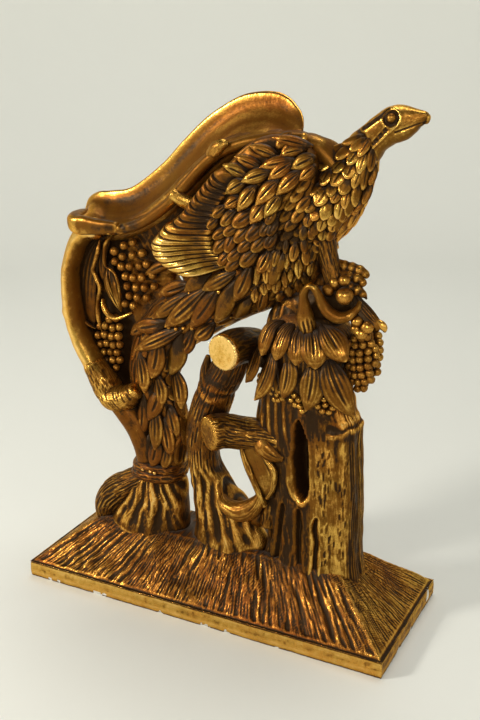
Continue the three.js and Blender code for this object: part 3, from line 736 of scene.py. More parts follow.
def worn(q):
    return 0.7 * noise(q.p, 24, 141) + 0.35 * noise(q.p, 9, 143)


def stem_dull_and_light(q):
    # Painted light: the stem is painted bright on its side turned to the left, with a painted highlight low
    # on it, and darker on its side turned to the right and at its far left edge.
    side = q.out[..., 0]
    rubbed_and_lit = 0.88 + 0.3 * q.near((-250, 470), (40, 46)) * step(0.2, -0.4, side)
    return step(-0.15, 0.8, side) + 0.3 * step(-0.75, -0.98, side) - rubbed_and_lit + 0.08 * noise(q.p, 40, 145)


def slanted(seed, fill):
    """Relief of strokes cut across a cap of bark."""
    def relief(q):
        return -1.0 * gouges(q.x * 0.8 + q.z * 0.6, q.z * 0.8 - q.x * 0.6, 4.4, 20, seed, fill)
    return relief


def stem():
    part = Part("vine_stem")
    tube(part, STEM, 72, 2.4, relief=lambda q: worn(q) + 3.0 * q.near((-274, 458), (9, 9)), warm=0.36,
         stroke=0.04, dull=stem_dull_and_light, tone=0.95)
    tube(part, FOOT, 56, 2.4, relief=worn, warm=0.6, dull=0.25, stroke=0.3)
    # Two overlapping bark caps at the bend.
    caps = (([(-222, -26, 372, 17, 24), (-206, -28, 350, 21, 26), (-197, -28, 330, 21, 25),
              (-190, -28, 312, 13, 18)], slanted(147, 0.8)),
            ([(-200, -30, 330, 15, 21), (-184, -32, 322, 21, 25), (-160, -32, 326, 21, 24),
              (-142, -28, 340, 15, 20)], slanted(151, 0.5)))
    for path, strokes in caps:
        tube(part, path, 60, 1.9, relief=strokes, warm=0.4, dull=0.14, tone=0.6, stroke=0.6)
    return [part]


def scroll_sides(rows):
    """The scroll's front edge and back edge, and the smoothed way along them."""
    front, back = (even(side, count=rows)[1] for side in (SCROLL_FRONT, SCROLL_BACK))
    along = np.pad(np.gradient(front, axis=0) + np.gradient(back, axis=0), ((10, 10), (0, 0)), mode="edge")
    along = np.stack([np.convolve(along[:, k], np.ones(21), mode="valid") for k in range(3)], 1)
    return front[:, None], back[:, None], unit(along)[:, None]


def scroll_highlight(t, v):
    """A painted highlight: the bright band along the scroll's far side."""
    return step(0.66, 0.8, v) * step(0.97, 0.92, v) * step(0.45, 0.62, t) * step(0.93, 0.82, t)


def scroll_dull_and_light(t, v):
    # Painted highlight along the trough's far side, where it is made brighter.
    rubbed_and_lit = 0.16 * step(0.5, 0.65, t) * step(0.85, 0.7, v) + 0.3 * band(v, 0.76, 0.07) * step(0.45, 0.6, t)
    rubbed_and_lit = rubbed_and_lit + 0.12 * step(0.2, 0.05, t) + 0.12 * band(v, 0.2, 0.15)
    rim = 0.85 * step(0.9, 0.97, v) + 1.6 * step(0.95, 1.0, v) * step(0.6, 0.75, t)
    end = 0.5 * step(0.86, 0.96, t) * step(0.55, 0.8, v) + 0.3 * step(0.93, 0.99, t)
    return 0.1 * scroll_highlight(t, v) + rim + end - rubbed_and_lit - 0.38


def scroll_plate(part):
    """The hollow plate: t runs along it from the left and v from its front edge to its back."""
    rows, cols = 216, 52
    front, back, along = scroll_sides(rows)

    def place(t, v):
        normal = unit(np.cross(along, back - front))
        flat = front + (back - front) * v[..., None]
        hollow = 4 + 13 * step(0.0, 0.12, t) * step(1.0, 0.84, t)
        hollow = hollow * np.sin(math.pi * np.minimum(v / 0.9, 1)) ** 0.9
        lip = 5.5 * step(0.98, 0.8, t) * band(v, 0.91, 0.09)
        hollow = hollow - lip + 10 * step(0.93, 1.0, v) - 5 * step(0.86, 1.0, t) * v
        worn_wood = 0.3 * noise(np.stack([t * 9, v * 10, 0 * t], -1), 1.0, 161)
        thick = 14 * (0.6 + 0.4 * np.sin(math.pi * v))
        upper = flat - normal * (hollow - worn_wood)[..., None]
        return upper, flat - normal * (np.maximum(hollow, 0) + thick)[..., None]
    loft(part, rows, cols, place, lambda t, v: np.stack([v * 40, 0 * t, t * 24], -1), stroke=0.04,
         # The far side's painted highlight is made warmer and brighter.
         warm=lambda t, v: 0.42 + 0.3 * scroll_highlight(t, v) - 0.25 * band(v, 0.15, 0.2) + 0.15 * band(v, 0.5, 0.2),
         tone=lambda t, v: 0.42 + 0.2 * scroll_highlight(t, v) + 0.2 * band(v, 0.15, 0.2), dull=scroll_dull_and_light)


def ragged(q):
    return 2.4 * q.near((-150, 606), (20, 14)) * noise(q.p, 6, 153) + 0.7 * noise(q.p, 20, 155)


def scroll():
    part = Part("scroll")
    scroll_plate(part)
    backing = [(-236, 16, 582, 12, 22), (-190, 20, 590, 15, 27), (-152, 20, 600, 17, 28),
               (-92, 22, 634, 19, 30), (-20, 22, 696, 19, 32), (34, 22, 732, 19, 32), (106, 20, 744, 18, 28)]
    tube(part, backing, 40, 5, square=0.2, relief=bark(9, 70, 0.8, 167), dull=0.7, warm=0.4)
    trim = Part("scroll_rims")
    # The roll that closes the left end and becomes the knob.
    roll = [(-252, 46, 604, 11, 9), (-250, 24, 606, 13, 12), (-246, 0, 608, 14, 14), (-239, -24, 609, 14, 14),
            (-229, -38, 608, 12, 14), (-214, -42, 608, 9, 15), (-192, -43, 608, 9, 13),
            (-170, -44, 609, 9, 11), (-150, -44, 610, 8, 9)]
    tube(trim, roll, 52, 2.4, across=UP, relief=worn, warm=0.45, stroke=0.04, tone=0.6, square=0.12,
         dull=lambda q: 0.22 - 0.4 * q.near((-214, 606), (26, 12)) + 0.2 * step(-196, -176, q.x))
    rim = [(-178, -42, 605, 8, 9), (-160, -42, 606, 9, 9), (-140, -42, 608, 8, 8), (-98, -44, 624, 8, 8),
           (-48, -46, 659, 8, 9), (12, -46, 718, 8, 9), (58, -46, 742, 8, 8), (118, -44, 755, 8, 8),
           (160, -40, 756, 8, 8)]
    tube(trim, rim, 40, 2.4, relief=ragged, warm=0.45, stroke=0.1,
         dull=lambda q: 0.12 + 0.4 * q.near((-120, 614), (30, 20)) + 0.1 * noise(q.p, 30, 156))
    # Two cut buds on the rim: a stub that points up and to the left, and a wedge.
    stub = [(-16, -46, 656, 12, 10), (-28, -52, 663, 10.5, 10), (-41, -56, 672, 9, 9)]
    wedge = [(20, -46, 726, 9, 8), (32, -53, 737, 11, 10), (44, -56, 745, 8, 8), (52, -54, 746, 3, 4)]
    for bud, sides, ends, seed, dull in ((stub, 9, (0.6, 0.05), 157, 0.3), (wedge, 7, (0.3, 0.2), 158, 0.34)):
        tube(trim, bud, sides, 1.6, ends=ends, relief=bark(5, 20, 1.2, seed), tone=0.4, warm=0.42, dull=dull,
             stroke=0.6)
    return [part, trim]


PANEL_OUTLINE = [(-206, 602), (-244, 582), (-258, 530), (-262, 480), (-256, 430), (-236, 390), (-206, 350),
                 (-166, 310), (-120, 300), (-70, 400), (0, 520), (110, 560), (170, 660), (172, 730),
                 (130, 756), (64, 748), (10, 718), (-54, 656), (-100, 622), (-160, 600)]


def ridge(part, points, y, r, **marks):
    """A thin raised line that fades out at both ends."""
    last = len(points) - 1
    path = [(x, y + 5 * (k in (0, last)), z, r * (0.5 if k in (0, last) else 1.1), r * 1.5)
            for k, (x, z) in enumerate(points)]
    marks["dull"] += 0.36
    tube(part, path, 18, 1.8, relief=worn, **marks)


def panel():
    part = Part("vine_panel")

    def folds(q):
        x, z = q.x, q.z
        left = step(-150, -176, x)
        marks = -1.4 * gouges(x * 0.8 + z * 0.5, z * 0.8 - x * 0.5, 8, 36, 173, 0.8)
        return -7 * left + 1.0 * noise(q.p, 14, 171) + marks * np.where(q.y > 10, 1.0, 1 - left)
    # Its hole is the small opening low on the wing's edge: its middle and its radius.
    plate(part, PANEL_OUTLINE, -4, 24, 240, folds, hole=(-72, 527, 8), dull=0.75, warm=0.55, stroke=0.5)
    # A broad leaf behind the stem with a raised edge, and smaller folds beside it.
    leaf(part, [(-206, 0, 588), (-227, -10, 552), (-238, -13, 510), (-240, -12, 468), (-234, -8, 426)], 22,
         thick=4, sink=9, blunt=0.6, slit=0.0, veins=0.7, vein_count=3, rows=70, cols=33, dull=0.3, warm=0.6,
         tone=0.5)
    ridge(part, [(-204, 578), (-206, 564), (-209, 556), (-216, 539), (-219, 530), (-214, 518), (-208, 502),
                 (-212, 486), (-215, 473), (-215, 447), (-212, 428)], -17, 2.8, warm=0.5, tone=0.9,
          dull=-0.05)
    leaf(part, [(-192, 0, 584), (-204, -8, 556), (-205, -10, 524), (-200, -6, 500)], 9, thick=4, slit=1.5,
         rows=40, cols=15, dull=0.5, warm=0.5)
    ridge(part, [(-182, 588), (-190, 578), (-195, 566), (-197, 545), (-194, 532)], -15, 2.4, warm=0.4,
          tone=0.8, dull=0.1)
    leaf(part, [(-194, -2, 544), (-190, -13, 517), (-184, -15, 496), (-176, -6, 462)], 13, thick=6, slit=2.4,
         slit_from=0.1, slit_to=0.9, veins=0.8, vein_count=2, rows=50, cols=25, dull=0.1, warm=0.45, tone=0.7)
    ridge(part, [(-194, 536), (-184, 534), (-177, 528), (-172, 515), (-170, 500), (-172, 484)], -18, 2.0,
          warm=0.4, tone=0.95, dull=-0.1)
    ridge(part, [(-190, 524), (-187, 512), (-183, 500), (-180, 488)], -22, 1.6, warm=0.3, tone=0.95,
          dull=-0.1)
    ridge(part, [(-204, 482), (-201, 472), (-196, 463), (-189, 457), (-178, 455), (-166, 459), (-150, 467)],
          -20, 3.4, warm=0.5, tone=0.85, dull=-0.1)
    ridge(part, [(-252, 455), (-246, 445), (-238, 437), (-226, 430)], -17, 2.6, warm=0.5, tone=0.8, dull=0.1)
    leaf(part, [(-70, -2, 552), (-92, -10, 548), (-112, -10, 538), (-128, -6, 528)], 9, thick=6, slit=1.5,
         dull=0.6, rows=24, cols=13)
    return [part]


UPPER_GRAPES = [(-144, 580), (-160, 574), (-179, 563), (-164, 556), (-145, 560), (-129, 564), (-180, 546),
                (-168, 539), (-152, 541), (-136, 543), (-120, 548), (-161, 524), (-146, 524), (-130, 526),
                (-112, 530), (-160, 508), (-144, 507), (-127, 509), (-109, 513), (-158, 492), (-141, 492),
                (-124, 493), (-166, 478), (-149, 477)]
LOWER_GRAPES = [(-199, 448), (-185, 452), (-218, 434), (-206, 437), (-193, 434), (-180, 437), (-222, 418),
                (-209, 421), (-196, 419), (-182, 422), (-220, 403), (-207, 406), (-193, 405), (-180, 408),
                (-214, 390), (-201, 391), (-187, 393), (-210, 376), (-197, 378), (-184, 380), (-205, 363),
                (-191, 366)]


def grapes():
    part = Part("panel_grapes")
    for k, (x, z) in enumerate(UPPER_GRAPES + LOWER_GRAPES):
        r1, r2 = draws(k, 251)
        ball(part, (x, -13 + 4 * r2, z), 6.3 + 0.9 * r1, seed=k, tone=0.3 + 0.5 * r1, warm=0.6, dull=0.5)
    return [part]


HEAD = [(229, -8, 737, 24, 20), (235.5, -8, 744.5, 25, 20), (247, -8, 756.5, 22, 20),
        (262, -8, 768, 22.5, 20.5), (275, -8, 775, 24, 20.5), (287, -8, 778.5, 22.5, 18),
        (298, -8, 781.5, 17, 13.5), (306, -8, 783.5, 12, 10), (313, -8, 784, 9, 7.5),
        (317.5, -8, 783, 6.5, 5)]
EYE = (275, 785)
BAND = [(270, 794), (255, 784), (236, 771)]
JAW_LINE = [(284, 776), (268, 762), (251, 745)]
MOUTH = [(317, 780), (304, 775.5), (292, 771), (282, 767)]
STRIP = [(275, 777), (253, 752)]
NAPE = [(222, 770), (238, 762), (248, 742), (252, 730)]


def head_relief(q):
    face = step(0.25, 0.75, np.abs(q.out[..., 1]))
    r = np.hypot(q.x - EYE[0], q.z - EYE[1])
    h = -3.4 * step(11.5, 9.0, r) + 0.6 * band(r, 12.6, 1.8)
    h -= 2.6 * step(4.2, 2.2, q.gap(BAND)) * step(10, 13, r)
    h += 1.0 * band(q.gap(JAW_LINE), 0, 1.3)
    h -= step(3.4, 1.6, q.gap(STRIP)) * (1.3 - 0.8 * np.cos(q.s / 1.5))
    h -= 1.6 * band(q.gap(MOUTH), 0, 1.5)
    h -= 2.2 * band(q.gap(NAPE), 0, 3.0)
    return h * face + 0.35 * noise(q.p, 9, 181) + 0.2 * noise(q.p, 4, 183)


def head_dull_and_light(q):
    face = step(0.25, 0.75, np.abs(q.out[..., 1]))
    up = q.out[..., 2]
    dark = step(12, 9.5, np.hypot(q.x - EYE[0], q.z - EYE[1])) + step(4.5, 2.5, q.gap(BAND))
    dark += 0.6 * step(4, 2, q.gap(STRIP)) + 0.8 * step(5, 1, q.gap(NAPE))
    dark = np.clip(dark, 0, 1) * 0.9 * face + 0.25 * step(306, 316, q.x)
    # Painted light: faces turned up are painted brighter, faces turned down darker.
    return dark + 0.35 * step(-0.2, -0.8, up) - 0.3 * step(0.3, 0.8, up) - 0.25


def head():
    part = Part("head")
    tube(part, HEAD, 128, 1.05, relief=head_relief, square=0.10, warm=0.28, tone=0.65, dull=head_dull_and_light,
         ends=(0.4, 0.8), stroke=0.2)
    for side in (-1, 1):
        ball(part, (EYE[0], -8 + side * 16.6, EYE[1]), 6.0, sides=26, rows=18, tone=0.5, dull=0.25)
    return [part]


BIRD = [(254, -8, 765, 14, 14), (246, -8, 757, 19, 18), (236, -7, 746, 22, 21), (225, -6, 729, 29, 26),
        (209, -6, 702, 38, 35), (182, -5, 670, 50, 48), (146, -5, 638, 55, 54), (122, -5, 594, 64, 55),
        (74, -5, 556, 57, 51), (18, -5, 522, 51, 43), (-39, -4, 483, 47, 37), (-88, -3, 445, 46, 32),
        (-120, -2, 388, 44, 30), (-122, -2, 335, 43, 29), (-104, -3, 276, 45, 31), (-112, -4, 212, 38, 31)]


def scale_rows(part, bands, first, last, long, wide, seed, skip=None, deeper=0.0, shaded=None, **kwargs):
    """Rows of overlapping feathers round the bird, with their tips along it."""
    steps = 300
    s, line = even(BIRD, count=steps)
    path = line[:, :3]
    along = unit(np.gradient(path, axis=0))
    side = unit(np.cross(along, FRONT))
    deep = np.cross(along, side)
    for row in range(bands):
        at = first + (last - first) * row / max(bands - 1, 1)
        here = line[int(at * (steps - 1))]
        around = max(8, int(round(math.pi * (here[3] + here[4]) / wide)))
        start = hashed(row, seed=seed + 9)
        for k in range(around):
            a = 2 * math.pi * (k + start + 0.12 * hashed(row, k, seed=seed)) / around
            r1, r3, r4 = (hashed(row, k, seed=seed + q) for q in (1, 3, 4))
            spine, outs = [], []
            for ahead in (0.0, 0.5, 1.0):
                place = at + (ahead + 0.15 * (r1 - 0.5)) * long / s[-1]
                i = int(np.clip(place * (steps - 1), 0, steps - 1))
                turn = a + 0.12 * (r3 - 0.5) * ahead
                w, d = line[i, 3] - deeper, line[i, 4] - deeper
                spine.append(path[i] + side[i] * math.cos(turn) * w + deep[i] * math.sin(turn) * d)
                outs.append(unit(side[i] * math.cos(turn) / w + deep[i] * math.sin(turn) / d))
            if skip is not None and skip(spine[1]):
                continue
            plain = 0.12 * step(0.0, 0.6, outs[1][1])
            shade = {"tone": 0.2 + 0.7 * r1, "warm": 0.3 + 0.6 * r3, "dull": plain + 0.08, **kwargs}
            if shaded is not None:
                shade["dull"] += shaded(*spine[1])
            leaf(part, spine, wide * (0.56 + 0.1 * r4), out=outs, **shade)


def body_front(x, z):
    """Depth of the bird's front surface at a place in the face of the carving."""
    _, line = even(BIRD, count=80)
    gap = np.hypot(line[:, 0] - x, line[:, 2] - z) / line[:, 3]
    i = int(np.argmin(gap))
    return line[i, 1] - line[i, 4] * math.sqrt(1 - min(gap[i], 0.9) ** 2)


# Scales of the breast and of the thigh, from root to tip, with their half widths and how dark they are.
BREAST = [(234, 759, 208, 747, 6.8, 0.1), (240, 755, 222, 741, 6.8, 0), (246, 755, 234, 734, 6, 0),
          (213, 746, 187, 736, 6.8, 0), (221, 745, 203, 729, 8.2, 0), (232, 742, 222, 723, 7.5, 0),
          (241, 736, 235, 712, 6.8, -0.1), (191, 730, 184, 713, 9.8, 0), (213, 726, 203, 713, 9, 0.1),
          (226, 724, 220, 706, 9, -0.1), (236, 716, 229, 693, 6.8, 0.1), (243, 724, 239, 690, 6.8, 0.4),
          (197, 714, 189, 696, 8.2, 0), (213, 713, 203, 696, 9.8, -0.05), (222, 705, 216, 685, 9, 0.2),
          (234, 697, 229, 668, 7.5, 0.1), (186, 697, 176, 682, 6.8, -0.05), (204, 698, 202, 682, 7.5, 0.35),
          (211, 690, 205, 674, 7.5, 0.35), (194, 689, 185, 670, 9.8, -0.05), (222, 686, 218, 666, 6.8, -0.2),
          (227, 679, 220, 655, 7.5, 0.3), (179, 675, 172, 661, 8.2, 0.3), (201, 672, 193, 651, 8.2, -0.1),
          (215, 676, 210, 652, 6.8, -0.2), (185, 663, 180, 650, 6.8, -0.15), (175, 657, 172, 641, 6.8, 0.2),
          (208, 658, 200, 642, 7.5, 0), (194, 653, 187, 635, 6.8, -0.1), (206, 648, 200, 634, 6.8, 0),
          (184, 648, 179, 628, 6, 0.4), (168, 639, 165, 622, 6, 0.15), (178, 638, 175, 623, 6, 0.15),
          (191, 636, 187, 621, 6.8, 0.1), (201, 634, 193, 620, 6.8, 0.1), (250, 743, 247, 714, 6.8, 0.45),
          (250, 722, 249, 696, 6.8, 0.45), (246, 698, 241, 671, 6.8, 0.45), (237, 682, 230, 660, 6.8, 0.4),
          (219, 670, 213, 647, 6, 0.35), (213, 658, 206, 635, 6, 0.4)]
THIGH = [(143, 620, 142, 602, 4.2, 0.3), (155, 614, 151, 591, 6.8, 0), (143, 601, 142, 580, 4.5, -0.15),
         (167, 606, 168, 585, 6, 0.15), (158, 592, 156, 564, 5.7, -0.05), (172, 587, 168, 568, 5.2, 0.1),
         (132, 585, 125, 569, 5.2, 0.1), (146, 577, 145, 560, 4.2, -0.15), (137, 573, 137, 550, 4.8, 0.05),
         (127, 566, 120, 540, 6.8, 0.15), (112, 582, 111, 555, 5.7, 0), (138, 550, 137, 536, 5.6, -0.15),
         (153, 562, 151, 542, 6, 0.25), (105, 554, 105, 536, 6, 0.1), (127, 540, 119, 526, 6, 0.1),
         (149, 538, 154, 528, 6, 0.3), (135, 534, 134, 516, 6.8, 0.2), (101, 585, 95, 551, 4.8, 0),
         (182, 593, 189, 575, 6, 0.3), (131, 605, 125, 582, 6, 0.3), (120, 597, 118, 573, 6, 0.3),
         (166, 622, 167, 603, 5.2, 0.35), (91, 543, 87, 522, 6, 0.1), (118, 561, 113, 546, 5.2, 0.2),
         (161, 571, 162, 552, 5.2, 0.3)]


def shadow(x, z):
    """Painted shadow in the deep corner between the wing, the breast and the thigh."""
    return 0.75 * bump(x, z, (126, 620), (34, 26)) + 0.5 * bump(x, z, (150, 640), (16, 40))


def body_out(x, z):
    """Way out of the bird's front surface at a place in the face of the carving."""
    here = body_front(x, z)
    return unit(np.array([body_front(x + 4, z) - here, -4.0, body_front(x, z + 4) - here]))


def on_body(ends, longer, rises):
    """Spine of a feather on the bird's front: root, middle and tip, each so far behind its surface."""
    return [[x, body_front(x, z) + rise, z] for (x, z), rise in zip(rooted(ends, longer), rises)]


def bird():
    skin = Part("bird_body")
    tube(skin, BIRD, 72, 6, relief=lambda q: -1.5 + 1.2 * noise(q.p, 24, 185), dull=0.75, warm=0.5)
    shoulder = [(140, -26, 752, 10, 12), (168, -22, 745, 15, 20), (190, -14, 728, 18, 26),
                (204, -8, 706, 19, 26)]
    tube(skin, shoulder, 50, 3, relief=lambda q: 1.6 * noise(q.p, 16, 187), dull=0.45, warm=0.4)
    scales = Part("breast_feathers")

    def hidden(p):
        return (p[1] < -30 and p[0] < 142 and p[2] > 566) or p[0] > 250 or (p[0] > 243 and p[2] > 766)

    def in_front(x, y, z):
        return 0.5 * step(-10, -25, y) + shadow(x, z)
    scale_rows(scales, 20, 0.0, 0.36, 28, 18, 191, skip=hidden, shaded=in_front, deeper=3.5, thick=3.4,
               sink=7, peak=0.4, blunt=0.62, slit=0.5, slit_to=0.7, rows=9, cols=9, lift=3.0, aged=0.6)
    for k, (*ends, width, dull) in enumerate(BREAST + THIGH):
        r1, r2 = draws(k, 193)
        spine = on_body(ends, 0.25, (1, -3, -5))
        outs = [body_out(x, z) for x, _, z in spine]
        leaf(scales, spine, width * 1.15, out=outs, thick=3.6, sink=8, peak=0.5, blunt=0.52,
             slit=0.7 * (r1 > 0.4), slit_from=0.25, slit_to=0.85, rows=22, cols=17, lift=1.5,
             tone=0.5 + 0.4 * r1, warm=0.15 + 0.5 * r2, aged=0.8, dull=dull + 0.8 * shadow(*ends[2:]))
    return [skin, scales]


# Feathers and leaves from root to tip in the face of the carving, with their half widths.
TAIL = [(54, 562, 1, 531, 7.8), (8, 553, -35, 523, 9), (-35, 529, -93, 506, 8), (-33, 515, -98, 470, 7.5),
        (-1, 526, -73, 461, 10), (24, 531, -26, 467, 9.5), (55, 546, 16, 480, 9.5), (83, 574, 57, 522, 11),
        (82, 531, 48, 489, 8.5), (-75, 464, -142, 445, 8.5), (-51, 457, -138, 411, 8),
        (-92, 431, -107, 368, 10.5), (-53, 449, -80, 374, 11), (-29, 458, -62, 410, 9), (6, 473, -28, 444, 9),
        (-130, 401, -120, 341, 9), (-74, 376, -62, 318, 9.5), (-101, 368, -93, 320, 9),
        (-114, 457, -149, 433, 7), (-96, 352, -115, 296, 9.5), (-84, 318, -69, 268, 9),
        (-106, 311, -104, 246, 9), (-90, 296, -80, 236, 9), (-128, 330, -134, 262, 8),
        (-122, 262, -134, 216, 8), (-104, 262, -112, 214, 9), (-86, 252, -92, 214, 8),
        (106, 548, 86, 504, 8.5), (116, 601, 100, 570, 9.8), (129, 590, 117, 552, 8.5),
        (139, 602, 130, 572, 6)]
BERRIES = [(-26, 520, 3.3), (30, 532, 3.6), (-75, 496, 4.6), (-67, 461, 3.3), (-54, 460, 3.3),
           (-41, 463, 3.3), (-26, 465, 3.6), (-79, 437, 3.3), (-93, 384, 3.0), (39, 489, 2.3),
           (-101, 300, 3.0)]


def tail():
    part = Part("tail_feathers")
    for k, (*ends, width) in enumerate(TAIL):
        r1, r2 = draws(k, 201)
        spine = on_body(ends, 0.12, (2, -3.5, -3))
        spine[1][0] += 0.05 * (spine[0][2] - spine[2][2])
        spine[1][2] += 1
        wide = width * (1.6 - 0.45 * step(60, 90, spine[0][0]))
        leaf(part, spine, wide, thick=5.5, sink=9, peak=0.5, blunt=0.75, slit=2.4 * (r2 > 0.25),
             slit_from=0.1 + 0.3 * r1, slit_to=0.75, veins=1.0 * (r1 > 0.6), vein_count=2, rows=30, cols=21,
             lift=3.0, tone=0.2 + 0.6 * r1, warm=0.3 + 0.45 * r2, aged=0.8, dull=0.24)
    for k, (x, z, r) in enumerate(BERRIES):
        ball(part, (x, body_front(x, z) - 3, z), r, seed=k, tone=0.6, dull=0.2)
    # Plainer feathers that fill the body round the carved ones.
    scale_rows(part, 13, 0.37, 0.93, 50, 24, 207, deeper=4.5, thick=4.0, sink=5, peak=0.5, blunt=0.7,
               slit=1.8, slit_to=0.85, rows=12, cols=9, lift=1.0, dull=0.55)
    return [part]


WING_LEAVES = [(175, 751, 126, 760, 6.5), (129, 736, 94, 748, 7.2), (169, 745, 138, 737, 6),
               (106, 720, 72, 733, 7.4), (87, 707, 53, 721, 7.7), (154, 730, 109, 720, 8),
               (183, 735, 155, 720, 8.8), (121, 713, 82, 699, 8.8), (154, 727, 122, 704, 8.8),
               (185, 723, 167, 705, 6.5), (84, 698, 57, 681, 8.5), (134, 701, 104, 668, 9.4),
               (165, 714, 134, 684, 9), (100, 690, 76, 658, 9.4), (76, 675, 55, 661, 7.5),
               (137, 682, 117, 652, 8.5), (114, 669, 95, 642, 9.6)]
WING_SCALES = [(93, 655, 66, 636, 10.2), (48, 658, 34, 646, 7.2), (63, 652, 47, 635, 8),
               (121, 644, 109, 626, 7.5), (69, 635, 50, 622, 8), (87, 634, 67, 613, 8.6),
               (108, 638, 86, 618, 9.8), (50, 627, 32, 615, 7), (63, 621, 52, 596, 8.4),
               (49, 613, 33, 594, 8.5), (90, 617, 72, 600, 8), (111, 621, 94, 602, 8.6),
               (72, 601, 55, 585, 8.5), (54, 594, 39, 576, 7.4), (94, 599, 75, 579, 9.8),
               (68, 587, 51, 570, 8), (35, 640, 24, 629, 7), (128, 663, 120, 643, 7), (130, 646, 121, 627, 7),
               (126, 628, 115, 609, 8)]
WING_OUTLINE = [(178, 738), (150, 760), (110, 760), (74, 742), (40, 706), (10, 674), (-20, 644), (-40, 616),
                (-50, 592), (-34, 570), (0, 562), (40, 568), (90, 580), (134, 596), (160, 640), (180, 690)]
# The grooves between the flight feathers, each from its outer end to its inner end.
FLIGHT = [[(92, 752), (98, 742), (112, 736), (124, 735)], [(71, 735), (77, 724), (92, 718), (106, 718)],
          [(52, 721), (58, 713), (72, 707), (88, 704)], [(31, 709), (37, 701), (47, 693), (62, 690)],
          [(25, 703), (31, 692), (41, 686), (56, 682)], [(18, 696), (24, 686), (33, 680), (50, 676)],
          [(11, 688), (16, 678), (26, 672), (44, 668)], [(3, 679), (8, 669), (18, 663), (40, 660)],
          [(-6, 668), (-2, 659), (8, 653), (34, 650)], [(-16, 655), (-9, 648), (7, 644), (32, 643)],
          [(-28, 644), (-18, 637), (0, 634), (30, 634)], [(-40, 636), (-26, 627), (-4, 625), (28, 627)],
          [(-54, 628), (-43, 619), (-20, 615), (22, 617)], [(-66, 617), (-50, 609), (-19, 606), (24, 609)],
          [(-78, 602), (-63, 598), (-29, 598), (24, 602)], [(-81, 590), (-61, 588), (-27, 591), (26, 597)],
          [(-79, 579), (-59, 580), (-22, 585), (30, 592)], [(-71, 569), (-47, 572), (-13, 580), (36, 588)],
          [(-60, 560), (-35, 566), (-1, 575), (42, 583)], [(-47, 554), (-21, 560), (8, 569), (48, 578)],
          [(-31, 551), (-7, 555), (20, 562), (52, 574)]]


# Where the flight feathers end and the wing's small feathers begin, from below upwards.
WING_EDGE = [[30, 24, 22, 30, 40, 62, 88, 106, 124], [592, 602, 617, 634, 660, 690, 704, 718, 735]]


def shoulder_swell(x, z):
    return 9 * bump(x, z, (112, 686), (72, 62))


def wing_front(x, z):
    return -61 - shoulder_swell(x, z)


def on_wing(ends, longer, rises, up):
    """Spine of a feather on the wing, its middle raised by up."""
    root, (x, z), tip = rooted(ends, longer)
    y = wing_front(x, z)
    return [(px, y + rise, pz) for (px, pz), rise in zip((root, (x, z + up), tip), rises)]


def flight_grid(per, cols):
    """Places in the face of the carving, per rows from one groove to the next and cols along each."""
    lines = np.array([smooth(line, 8) for line in FLIGHT], float)
    pick = np.linspace(0, lines.shape[1] - 1, cols)
    known = np.arange(lines.shape[1])
    fine = [np.interp(pick, known, line[:, k]) for line in lines for k in range(2)]
    grid = smooth(np.reshape(fine, (len(FLIGHT), -1)), per).reshape(-1, 2, cols)
    return grid[:, 0], grid[:, 1]


def flight():
    """The fan of flight feathers along the wing's edge, each a rounded rib."""
    part = Part("flight_feathers")
    count = len(FLIGHT) - 1
    x, z = flight_grid(per=13, cols=40)

    def place(t, v):
        number = t * count
        phase = number - np.floor(number)
        rib = np.clip(1 - np.abs(2 * phase - 1) ** 3.0, 0, 1) ** 0.5
        shell = step(0.5, 0.72, t)
        high = (6.0 - 2.6 * shell) * rib
        roll = np.clip(v / (0.16 + 0.06 * shell), 0, 1)
        edge = np.sqrt(np.clip(1 - (1 - roll) ** 2, 0, 1))
        swell = 6 * np.sin(math.pi * np.clip(v * 1.1, 0, 1)) * (1 + shell) * step(1.0, 0.4, v)
        crown = edge * (22 + swell)
        split = 0.7 * band(phase, 0.5, 0.08) * step(0.2, 0.4, v) * step(0.75, 0.6, v) * shell
        split *= hashed(np.floor(number), seed=219) > 0.45
        y = -38 - crown - high * (0.25 + 0.75 * edge) + split
        wander = noise(np.stack([x, y, z], -1), 16, 221)
        return np.stack([x, y + 0.7 * wander, z], -1), np.stack([x, 0 * y - 3, z], -1)

    def ribs(t):
        return hashed(np.minimum(np.floor(t * count), count - 1), seed=223)

    def dull(t, v):
        # Painted shade along the turned-under outer lip and towards the inner ends under the wing's small
        # feathers; the shell is brighter, partly rubbed gold and partly a painted highlight.
        groove = np.abs(2 * (t * count - np.floor(t * count)) - 1) ** 6
        rubbed_and_lit = 0.22 + 0.4 * step(0.52, 0.68, t) * step(0.9, 0.5, v)
        inner = 0.5 * step(0.35 + 0.25 * step(0.5, 0.7, t), 1.0, v) + 0.25 * step(0.03, 0.0, v)
        return 0.46 * step(0.66, 0.45, t) + inner - rubbed_and_lit + 1.7 * groove
    loft(part, *x.shape, place, lambda t, v: np.stack([t * 60, 0 * t, v * 5], -1), stroke=0.12,
         tone=lambda t, v: 0.25 + 0.3 * ribs(t) + 0.65 * step(0.52, 0.68, t) * step(0.9, 0.5, v),
         warm=lambda t, v: 0.62 - 0.52 * step(0.55, 0.72, t) + 0.2 * (ribs(t) - 0.5), dull=dull)
    return [part]


